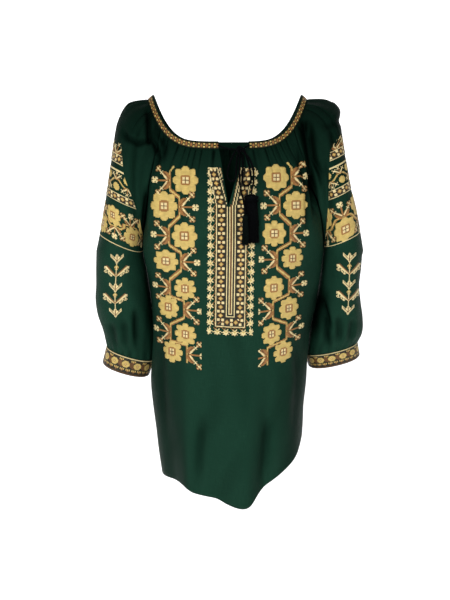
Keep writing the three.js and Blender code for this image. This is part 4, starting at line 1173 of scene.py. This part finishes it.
def sleeve_places(name, chart):
    """Where the sleeve's chart lies and which of its stitches do: x is the length behind the front edge, and the
    columns run at right angles to the slanting rows, so that the edge cuts them."""
    x, _ = chart.edges
    rows = np.arange(chart.cells.shape[0] + 1)
    levels = np.interp(rows, SLEEVE_LEVELS["rows"], SLEEVE_LEVELS[name])
    edge = np.interp(levels, *np.array(SLEEVE_EDGES[name], float).T)
    side = 1 if name == "sleeve_left" else -1
    share = np.linspace(0, 0.5, 90) if side > 0 else np.linspace(1, 0.5, 90)
    down = np.linspace(0, 2, 301)
    grid = PANELS[name][0](*np.meshgrid(share, down))
    reading = np.maximum.accumulate(sleeve_level(grid, down[:, None]), axis=0)
    reach = np.abs(grid[..., 0])
    found = np.stack([np.interp(levels, reading[:, j], reach[:, j]) for j in range(len(share))], axis=1)
    zero = np.array([np.interp(e, np.maximum.accumulate(row), share) for e, row in zip(edge, found)])
    lean = SLEEVE_LEAN * (np.minimum(rows, 134) - 104) * chart.pitch
    across = np.clip(x + lean[:, None], 0, SLEEVE_CHART_WIDTH)
    inside = (across > 0) & (across < SLEEVE_CHART_WIDTH)
    kept = inside[:-1, :-1] | inside[1:, :-1] | inside[:-1, 1:] | inside[1:, 1:]
    return level_places(name, levels, across * side, sleeve_level, zero), kept


def sleeve_chart(name, face):
    """Bands round the sleeve: sprigs, chains, a floral band, a vine with large flowers, and hanging strands."""
    pitch = bpy.context.scene.blouse_stitch.pitch / MM
    near, far = -22, 262
    chart = StitchChart(near, far, 0, 228 * pitch, pitch)
    places, kept = sleeve_places(name, chart)
    surface = lie_on(name, places, face)
    columns = chart.cells.shape[1]
    for place in np.arange(near + 6, far, 20.0):
        sprig(chart, place, 19.5 * pitch, (0, -1), (1, 0), 0.65)
    for top in (20, 65):
        chart.cells[top: top + 11] = BRONZE
        chart.cells[top] = CREAM
        chart.cells[top + 1: top + 9] = repeat_rows(SQUARES_AND_DIAMOND, columns).T
        chart.cells[top + 10] = CREAM
    chart.cells[38:40] = CREAM
    spots = enumerate(np.arange(near, far, 18.5))
    small = [(place, 52.5 * pitch, 1 - 2 * (i % 2), 12.5, 12.5) for i, place in spots]
    inner = StitchChart(near, far, 40.5 * pitch, 64.5 * pitch, pitch)
    flower_vine(inner, small, "x", 0.4)
    chart.cells[40:64] = inner.cells[:24]
    x, z, repeat, first, width, height = SLEEVE_VINES[name]
    low, level = nearest_place(chart, surface[0], x, z)
    size = repeat / FLOWER_REPEAT
    middle = level - 17 * size
    large = [(low + repeat * k, middle, 1 - 2 * (k % 2), width if k else first, height) for k in range(-2, 8)]
    band = StitchChart(near, far, 76.5 * pitch, 132 * pitch, pitch)
    flower_vine(band, large, "x", size)
    chart.cells[77:132] = band.cells[:55]
    chart.cells[132] = CREAM
    chart.cells[~kept] = BARE
    if name == "sleeve_right":
        chart.cells = chart.cells[:, ::-1].copy()
        surface = [grid[:, ::-1] for grid in surface]
    return chart, surface


def cuff_cells(rows, columns):
    """Round flowers along a solid ground, with brown patches between them and leaves at both edges."""
    chart = StitchChart(0, columns, 0, rows, 1)
    chart.cells[:] = BRONZE
    for x in np.arange(7, columns, CUFF_REPEAT):
        chart.line([(x + 5, 7), (x + 9, 9)], BROWN, 4)
        chart.stamp(CUFF_FLOWER, x, 7.5)
        for place, y in ((x - 3.5, 14.5), (x + 3.5, 14.5), (x + 7, 4)):
            chart.stamp(CUFF_LEAF, place, y)
    chart.cells[0], chart.cells[-1] = CREAM, BROWN
    return chart.cells


def strand_chart(name, behind, face):
    """A strand of tulips and wings that hangs upright on a sleeve, in front or behind: each row lies level, and
    each place across is a distance in x from the strand's middle."""
    pitch = bpy.context.scene.blouse_stitch.pitch / MM
    spots = np.array(STRANDS[name], float)
    heights = -spots[:, 1]
    chart = StitchChart(-16.5 * pitch, 16.5 * pitch, heights[0] - 12, heights[-1] + 12, pitch)
    chart.line([(0, heights[0]), (0, heights[-1])], CREAM, 1.5)
    for i, height in enumerate(heights):
        if i % 2 == 0:
            chart.stamp(TULIP, 0, height)
            continue
        chart.stamp(WING, 7.5 * pitch, height)
        chart.stamp(WING[:, ::-1], -7.5 * pitch, height)
        chart.stamp(BUD, 0, height - 3.5 * pitch)
    form = PANELS[name][0]
    shares = np.linspace(0, 0.5, 90) + (0 if name == "sleeve_left" else 0.5)
    down = np.linspace(0.8, 2, 200)
    grid = form(*np.meshgrid(shares, down))
    x, levels = chart.edges
    found = np.stack([np.interp(levels, -grid[:, j, 2], down) for j in range(len(shares))], axis=1)
    reach = form(np.broadcast_to(shares, found.shape), found)[..., 0]
    middle = np.interp(levels, heights, spots[:, 0])
    share = np.array([np.interp(m + x, row, shares) for m, row in zip(middle, reach)])
    lower = np.array([np.interp(s, shares, row) for s, row in zip(share, found)])
    surface = lie_on(name, (1 - share if behind else share, lower), face)
    if behind:
        chart.cells = chart.cells[:, ::-1].copy()
        surface = [grid[:, ::-1] for grid in surface]
    return chart, surface


class BLOUSE_OT_cloth(bpy.types.Operator):
    """Cut and gather the front, back and sleeves"""

    bl_idname = "blouse.cloth"
    bl_label = "Cloth"

    def execute(self, context):
        material = cloth_material()
        face = context.scene.blouse_cloth.wall / MM
        yoke = np.r_[np.linspace(0, 0.12, 15)[:-1], np.linspace(0.12, 1, 56)]
        end = slit_end()
        yoke = np.sort(np.r_[yoke[np.abs(yoke - end) > 0.008], end])
        trunk_down = np.r_[yoke, np.linspace(1, 2, 76)[1:]]
        sleeve_down = np.r_[yoke, np.linspace(1, 1.85, 38)[1:], np.linspace(1.85, 2, 15)[1:]]
        for name, down, columns, slit in (
            ("front", trunk_down, 280, True), ("back", trunk_down, 180, False),
            ("sleeve_left", sleeve_down, 200, False), ("sleeve_right", sleeve_down, 200, False),
        ):
            piece = panel_piece(name, down, columns, material, walls=(face, 0.3), slit=slit)
            settle(piece, "cloth", name)
        return {"FINISHED"}


class BLOUSE_OT_front_embroidery(bpy.types.Operator):
    """Stitch the placket and the two flower columns of the front"""

    bl_idname = "blouse.front_embroidery"
    bl_label = "Front embroidery"

    def execute(self, context):
        face = context.scene.blouse_cloth.wall / MM
        for name, (chart, surface) in (
            ("placket_stitching", placket_chart(face)),
            ("flowers_right", flower_column(LEFT_FLOWERS, -150, -43, face)),
            ("flowers_left", flower_column(RIGHT_FLOWERS, 46, 155, face)),
        ):
            embroider(name, chart, surface)
        return {"FINISHED"}


class BLOUSE_OT_sleeve_embroidery(bpy.types.Operator):
    """Stitch the bands and strands of both sleeves"""

    bl_idname = "blouse.sleeve_embroidery"
    bl_label = "Sleeve embroidery"

    def execute(self, context):
        face = context.scene.blouse_cloth.wall / MM
        for name in ("sleeve_left", "sleeve_right"):
            embroider(name + "_stitching", *sleeve_chart(name, face))
            for behind, label in ((False, "_strand_front"), (True, "_strand_back")):
                embroider(name + label, *strand_chart(name, behind, face))
        return {"FINISHED"}


def band_strip(name, surface_at, along, heights, closed):
    """A doubled strip: its two faces draw together at the free edge by a root of 1 minus height to the tenth."""
    grid_along, grid_height = np.meshgrid(along, heights)
    points, normals = surface_at(grid_along, grid_height)
    top = heights.max()
    thick = BAND_HALF * np.sqrt(np.clip(1.04 - (grid_height / top) ** 10, 0.04, 1))
    ids = np.arange(grid_along.size).reshape(grid_along.shape)
    if closed:
        ids[:, -1] = ids[:, 0]
    outer, inner = points + normals * thick[..., None], points - normals * thick[..., None]
    steps = np.linalg.norm(np.diff(points[0], axis=0), axis=1)
    u, v = np.meshgrid(np.r_[0, np.cumsum(steps)], heights)
    outer, faces, inner, uv = compact(
        outer.reshape(-1, 3), grid_faces(ids), inner.reshape(-1, 3), np.stack([u, v], -1).reshape(-1, 2) * MM
    )
    both, walls = doubled(outer, inner, faces)
    shade = np.full(len(both), BAND_SHADE)
    return put_mesh(name, both, walls, cloth_material(), uv=np.vstack([uv, uv]), shade=shade)


class BLOUSE_OT_neckband(bpy.types.Operator):
    """Make the neckband and its row of squares and diamonds"""

    bl_idname = "blouse.neckband"
    bl_label = "Neckband"

    def execute(self, context):
        ends = (BAND["open_to"], 360 + BAND["open_from"])
        angles = np.linspace(*ends, 421)
        heights = np.array([12, 11.6, 10.8, 9, 7, 5, 3, 1.5, 0.15])
        band = band_strip(
            "neckband_cloth", lambda a, h: (band_point(a, h), band_normal(a)), angles, heights, False
        )
        settle(band, "cloth", "neckband")
        fine = np.linspace(*ends, 2000)
        run = np.r_[0, np.cumsum(np.linalg.norm(np.diff(band_point(fine, 0 * fine + 6), axis=0), axis=1))]
        chart = StitchChart(0, run[-1] - 3, 0, NECK_ROWS * 1.2, NECK_PITCH)
        chart.cells = repeat_rows(NECK_CHAIN, int(run[-1] / NECK_PITCH) - 1).T.copy()
        at = np.interp(NECK_PITCH * np.arange(chart.cells.shape[1] + 1) + NECK_PITCH, run, fine)
        grid_angle, grid_height = np.meshgrid(at, np.linspace(9.8, 0.6, NECK_ROWS + 1))
        normals = band_normal(grid_angle)
        surface = band_point(grid_angle, grid_height) + normals * BAND_HALF, normals
        embroider("neckband_stitching", chart, surface)
        return {"FINISHED"}


class BLOUSE_OT_cuffs(bpy.types.Operator):
    """Make both cuffs and their dense flower bands"""

    bl_idname = "blouse.cuffs"
    bl_label = "Cuffs"

    def execute(self, context):
        for name, node_name in (("sleeve_left", "cuff_left"), ("sleeve_right", "cuff_right")):
            tall = CUFF_HEIGHT[name]
            heights = np.r_[0.15, np.linspace(1.2, tall - 1.4, 12), tall - 0.7, tall - 0.25, tall]
            strip = band_strip(
                node_name + "_cloth", lambda s, h: cuff_point(name, s, h), np.linspace(0, 1, 181), heights, True
            )
            settle(strip, "cloth", node_name)
            ring, _ = cuff_point(name, np.linspace(0, 1, 400), np.full(400, tall / 2))
            around = np.linalg.norm(np.diff(ring, axis=0), axis=1).sum()
            columns = int(round(around / CUFF_PITCH / CUFF_REPEAT)) * CUFF_REPEAT
            chart = StitchChart(0, columns * CUFF_PITCH, 0, CUFF_ROWS * CUFF_PITCH, CUFF_PITCH)
            chart.cells = cuff_cells(CUFF_ROWS, columns)
            shares, levels = np.linspace(0, 1, columns + 1), np.linspace(0.8, tall - 1.2, CUFF_ROWS + 1)
            points, normals = cuff_point(name, *np.meshgrid(shares, levels))
            embroider(node_name + "_stitching", chart, (points + normals * BAND_HALF, normals))
        return {"FINISHED"}


# ---------------------------------------------------------------- the tie
# The cords' routes in metres: each runs from an end of the neckband through the knot to its tassel.
TIE_RIGHT = np.array([
    (30.5, -88.6, -60), (28, -93.4, -61.5), (24.6, -97.2, -63.8), (22.6, -101, -67.4), (24.4, -105, -72),
    (29.8, -109.4, -78), (35.4, -115, -90), (37.4, -119.8, -102), (37.4, -124.6, -114), (35.2, -128.4, -123.6),
    (33.8, -129.9, -131.9), (33.6, -131, -142), (33.5, -131.8, -152),
]) * MM
TIE_LEFT = np.array([
    (-17, -88.8, -60), (-11, -92.4, -62.5), (-3, -95, -64.8), (4, -96.4, -66), (9.6, -97.6, -66.4), (14, -100.4, -69),
    (16.4, -103.8, -74.4), (16.6, -109.2, -84), (16, -117.2, -98), (16.6, -126, -114), (19, -133.6, -130),
    (22.8, -139.4, -146), (24.6, -142, -161),
]) * MM
LOOP_RIGHT = np.array([
    (24.4, -98.6, -69), (27, -103, -78), (31.4, -111.4, -93), (33.4, -119.6, -107), (33.2, -122.4, -114),
    (30.8, -124.4, -118.6), (26.8, -125.2, -120.6), (22.8, -124.6, -118.6), (20.6, -122.8, -114),
    (20.4, -119.6, -107), (21.2, -112.6, -93), (21, -105.2, -82), (20.4, -99.4, -73.6),
]) * MM
LOOP_LEFT = np.array([
    (9.6, -98.6, -69.4), (5.2, -103.6, -78), (0.2, -110, -90), (-2, -116, -101), (-1.8, -119, -107),
    (0.6, -121.2, -111.6), (4.6, -122.2, -113.6), (8.6, -121.6, -111.6), (10.8, -119.4, -107), (11, -116.2, -101),
    (11.6, -110.2, -90), (12.6, -104, -80.6), (13.4, -99.4, -73.6),
]) * MM
KNOT_PLACE = np.array((17, -97.4, -66.4)) * MM


def smooth_line(points, count):
    """A cubic through points, with slopes from their neighbours, at even lengths."""
    chord = np.r_[0, np.cumsum(np.linalg.norm(np.diff(points, axis=0), axis=1) ** 0.5)]
    fine = np.linspace(0, chord[-1], 40 * len(points))
    curve = np.stack(read_table(np.c_[chord, points], fine), axis=-1)
    run = np.r_[0, np.cumsum(np.linalg.norm(np.diff(curve, axis=0), axis=1))]
    even = np.linspace(0, run[-1], count)
    return np.stack([np.interp(even, run, curve[:, k]) for k in range(3)], axis=-1), run[-1]


def carried_frames(line):
    """Directions across a line, each the one before it freed of its part along the line."""
    tangent = unit(np.gradient(line, axis=0))
    side = np.zeros_like(line)
    start = np.cross(tangent[0], (0.3, 0.5, 0.81))
    side[0] = start / np.linalg.norm(start)
    for i in range(1, len(line)):
        step = side[i - 1] - tangent[i] * (side[i - 1] @ tangent[i])
        side[i] = step / np.linalg.norm(step)
    return side, np.cross(tangent, side)


def twisted_tube(line, radius):
    """A laid cord: its radius swells by the absolute cosine of half the plies' angle, which turns on its way.

    Gives points in metres, faces with closed ends, and a place round and along for each point."""
    side, other = carried_frames(line)
    run = np.r_[0, np.cumsum(np.linalg.norm(np.diff(line, axis=0), axis=1))]
    angle = np.linspace(0, 2 * np.pi, TUBE_SIDES, endpoint=False)
    ply = TUBE_PLIES / 2 * (angle[None, :] - 2 * np.pi * run[:, None] / TUBE_TURN)
    reach = radius * (0.8 + 0.2 * np.abs(np.cos(ply)))[..., None]
    ring = np.cos(angle)[:, None] * side[:, None] + np.sin(angle)[:, None] * other[:, None]
    points = line[:, None] + ring * reach
    u, v = np.meshgrid(angle * radius, run)
    ids = np.arange(u.size).reshape(u.shape)
    ids = np.hstack([ids, ids[:, :1]])
    faces = grid_faces(ids)[:, ::-1]
    ends = [u.size, u.size + 1]
    first = np.c_[ids[0, 1:], ids[0, :-1], np.full(TUBE_SIDES, ends[0])]
    last = np.c_[ids[-1, :-1], ids[-1, 1:], np.full(TUBE_SIDES, ends[1])]
    points = np.vstack([points.reshape(-1, 3), line[0], line[-1]])
    uv = np.vstack([np.stack([u, v], -1).reshape(-1, 2), [0, 0], [0, run[-1]]])
    return points, [*faces.tolist(), *first.tolist(), *last.tolist()], uv


def put_yarn(name, points, faces, uv, material):
    """A smooth piece of yarn whose faces have any number of corners, with a place along and across for each point."""
    mesh = bpy.data.meshes.new(name)
    mesh.from_pydata(points.tolist(), [], faces)
    layer = mesh.uv_layers.new(name="cloth")
    corners = np.concatenate([np.asarray(f) for f in faces])
    layer.data.foreach_set("uv", uv[corners].ravel())
    mesh.polygons.foreach_set("use_smooth", np.ones(len(faces), bool))
    mesh.update()
    piece = bpy.data.objects.new(name, mesh)
    bpy.context.scene.collection.objects.link(piece)
    mesh.materials.append(material)
    return piece


def knot_line():
    """A trefoil, flattened fore and aft, its radius 3.1 mm with lobes of 1.5 mm."""
    t = np.linspace(0, 2 * np.pi, KNOT_POINTS, endpoint=False)
    x = (3.1 + 1.5 * np.cos(3 * t)) * np.cos(2 * t)
    z = (3.1 + 1.5 * np.cos(3 * t)) * np.sin(2 * t)
    return KNOT_PLACE + np.stack([x, 1.25 * np.sin(3 * t), z], axis=-1) * MM


def tassel_mesh(place, length, radius, strands, seed):
    """A bound head and many strands: strand k leaves at the golden angle times k, at a root of k from the middle,
    falls with a slight outward lean and a wave, and ends a little higher or lower than its neighbours."""
    draw = np.random.default_rng(seed)
    k = np.arange(strands)
    angle, spread = k * GOLDEN_ANGLE, np.sqrt((k + 0.5) / strands)
    t = np.linspace(0, 1, 9)
    fall = (length - 9 - 3.4 * draw.random(strands))[:, None] * t + 9
    lean = 0.8 + 0.32 * t ** 0.8 + 0.05 * np.sin(9 * t + draw.random((strands, 1)) * 6)
    out = radius * 0.86 * spread[:, None] * lean
    wave = 0.5 * np.sin(5 * t + 6.28 * draw.random((strands, 1))) * t
    centre = np.stack([
        out * np.cos(angle)[:, None] + wave, out * np.sin(angle)[:, None] * 0.7 + 0.6 * wave, -fall,
    ], axis=-1)
    around = np.linspace(0, 2 * np.pi, 5, endpoint=False)
    ring = np.stack([np.cos(around), np.sin(around), 0 * around], axis=-1)
    thick = 0.62 * (1 - 0.35 * t)[None, :, None, None]
    points = centre[:, :, None] + ring * thick
    ids = np.arange(points.size // 3).reshape(points.shape[:3])
    ids = np.concatenate([ids, ids[:, :, :1]], axis=2)
    sides = np.stack([ids[:, :-1, :-1], ids[:, 1:, :-1], ids[:, 1:, 1:], ids[:, :-1, 1:]], axis=-1).reshape(-1, 4)
    tips = [row[::-1].tolist() for row in ids[:, -1, :-1]] + [row.tolist() for row in ids[:, 0, :-1]]
    height = np.linspace(0, 1, 26)
    profile = np.interp(height, (0, 0.12, 0.3, 0.55, 0.72, 0.86, 1), (0.3, 0.6, 0.92, 0.88, 0.7, 0.86, 0.98))
    profile = profile + 0.035 * np.sin(height * 70) * ((height > 0.55) & (height < 0.85))
    turn = np.linspace(0, 2 * np.pi, 28, endpoint=False)
    wide = (profile[:, None] * (1 + 0.035 * np.cos(14 * turn))) * radius * 0.97
    below = np.broadcast_to(-1 - 11 * height[:, None], wide.shape)
    head = np.stack([wide * np.cos(turn), wide * np.sin(turn) * 0.74, below], -1)
    offset = points.size // 3
    hid = np.arange(head.size // 3).reshape(head.shape[:2]) + offset
    hid = np.hstack([hid, hid[:, :1]])
    caps = [hid[0, :-1].tolist(), hid[-1, :-1][::-1].tolist()]
    faces = [*sides.tolist(), *tips, *grid_faces(hid).tolist(), *caps]
    every = np.vstack([points.reshape(-1, 3), head.reshape(-1, 3)])
    tilt = np.radians(-3.5)
    turned = np.stack([
        every[:, 0], every[:, 1] * np.cos(tilt) - every[:, 2] * np.sin(tilt),
        every[:, 1] * np.sin(tilt) + every[:, 2] * np.cos(tilt),
    ], axis=-1)
    uv = np.stack([every[:, 0] * 0.3, every[:, 2]], axis=-1) * MM
    return (turned + place) * MM, faces, uv


class BLOUSE_OT_tie(bpy.types.Operator):
    """Tie the two cords over the slit, with bow loops and tassels"""

    bl_idname = "blouse.tie"
    bl_label = "Tie and tassels"

    def execute(self, context):
        s = context.scene.blouse_tie
        dark, green = yarn_material("tie_yarn", s.yarn), yarn_material("tassel_yarn", s.second)
        knot = put_yarn("knot", *twisted_tube(np.vstack([knot_line(), knot_line()[:1]]), 0.0016), dark)
        settle(knot, "cord", "tie_knot")
        right = put_yarn("tassel_long", *tassel_mesh((33.7, -130.2, -131.8), 75, 12.4, 290, 4), dark)
        left = put_yarn("tassel_short", *tassel_mesh((24.7, -142.4, -160.8), 48, 5.4, 90, 9), green)
        settle(right, "cord", "tassel_right")
        settle(left, "cord", "tassel_left")
        for name, route, far_end, stands_for, ends in (
            ("cord_right", TIE_RIGHT, "fitting", ("tie_cross_right", "tie_end_right"), [knot, right]),
            ("cord_left", TIE_LEFT, "fitting", ("tie_cross_left", "tie_end_left"), [left]),
            ("bow_right", LOOP_RIGHT, "object", ("tie_loop_right",), []),
            ("bow_left", LOOP_LEFT, "object", ("tie_loop_left",), []),
        ):
            line, run = smooth_line(route, 12 * len(route))
            piece = put_yarn(name, *twisted_tube(line, s.diameter / 2), dark)
            settle(piece, "cord", *stands_for)
        return {"FINISHED"}


# ---------------------------------------------------------------- the studio
AIM = Vector((-0.0059, 0, -0.318))
CAMERA_DISTANCE, CAMERA_ELEVATION = 1.6, 10
CAMERA_LENS = 57.14


class BLOUSE_OT_stage(bpy.types.Operator):
    """Set up the floor, backdrop, lights and camera"""

    bl_idname = "blouse.stage"
    bl_label = "Stage"

    def execute(self, context):
        s = context.scene.blouse_stage
        data = bpy.data.cameras.new("camera")
        camera = bpy.data.objects.new("camera", data)
        context.scene.collection.objects.link(camera)
        rise = np.radians(CAMERA_ELEVATION)
        camera.location = AIM + Vector((0, -CAMERA_DISTANCE * np.cos(rise), CAMERA_DISTANCE * np.sin(rise)))
        camera.rotation_euler = (AIM - camera.location).to_track_quat("-Z", "Y").to_euler()
        data.lens, data.sensor_width, data.clip_end = CAMERA_LENS, 36, 30
        context.scene.camera = camera
        self.sweep(s)
        for name, place, size, power in (
            ("key", (-0.7, -2.3, 0.55), 1.2, s.key), ("fill", (1.9, -1.9, -0.2), 1.6, s.fill),
        ):
            light = bpy.data.lights.new(name, "AREA")
            light.energy, light.size = power, size
            lamp = bpy.data.objects.new(name, light)
            lamp.location = place
            lamp.rotation_euler = (Vector((0, 0, -0.3)) - lamp.location).to_track_quat("-Z", "Y").to_euler()
            context.scene.collection.objects.link(lamp)
        world = bpy.data.worlds.new("studio")
        world.use_nodes = True
        world.node_tree.nodes["Background"].inputs[0].default_value = (1, 1, 1, 1)
        world.node_tree.nodes["Background"].inputs[1].default_value = s.sky
        context.scene.world = world
        context.scene.view_settings.view_transform = "Standard"
        return {"FINISHED"}

    def sweep(self, s):
        """Floor and backdrop in one sheet: flat, then a quarter circle, then upright."""
        t = np.linspace(0, 1, 90)
        radius, near, wall, top = 1200, -4200, 2600, 3600
        run = t * ((wall - radius - near) + radius * np.pi / 2 + (top - radius))
        flat = wall - radius - near
        turn = np.clip((run - flat) / radius, 0, np.pi / 2)
        y = near + np.minimum(run, flat) + radius * np.sin(turn)
        z = -s.floor_drop / MM + radius * (1 - np.cos(turn)) + np.maximum(0, run - flat - radius * np.pi / 2)
        x = np.linspace(-4500, 4500, 30)
        points = vec(x[None, :], y[:, None], z[:, None])
        ids = np.arange(points.size // 3).reshape(points.shape[:2])
        paper = solid_colour("studio_paper", s.paper, 0.9, s.glow)
        sheet = put_mesh("backdrop", points.reshape(-1, 3), grid_faces(ids)[:, ::-1], paper)


class BLOUSE_PT_panel(bpy.types.Panel):
    """Settings and building steps"""

    bl_idname = "BLOUSE_PT_panel"
    bl_label = "Peasant blouse"
    bl_space_type = "VIEW_3D"
    bl_region_type = "UI"
    bl_category = "Blouse"

    def draw(self, context):
        for key, settings in SETTINGS.items():
            box = self.layout.box()
            box.label(text=key.split("_")[1].capitalize())
            for name in settings.__annotations__:
                box.prop(getattr(context.scene, key), name)
        for operator in OPERATORS:
            self.layout.operator(operator.bl_idname)


OPERATORS = (
    BLOUSE_OT_stage, BLOUSE_OT_tie, BLOUSE_OT_cloth, BLOUSE_OT_neckband, BLOUSE_OT_cuffs, BLOUSE_OT_front_embroidery,
    BLOUSE_OT_sleeve_embroidery,
)
CLASSES = (*SETTINGS.values(), *OPERATORS, BLOUSE_PT_panel)


def register():
    for cls in CLASSES:
        bpy.utils.register_class(cls)
    for key, settings in SETTINGS.items():
        setattr(bpy.types.Scene, key, bpy.props.PointerProperty(type=settings))


def unregister():
    for key in SETTINGS:
        delattr(bpy.types.Scene, key)
    for cls in reversed(CLASSES):
        bpy.utils.unregister_class(cls)


def main():
    """Builds every piece in order."""
    register()
    for operator in OPERATORS:
        family, name = operator.bl_idname.split(".")
        getattr(getattr(bpy.ops, family), name)()


if __name__ == "__main__":
    main()
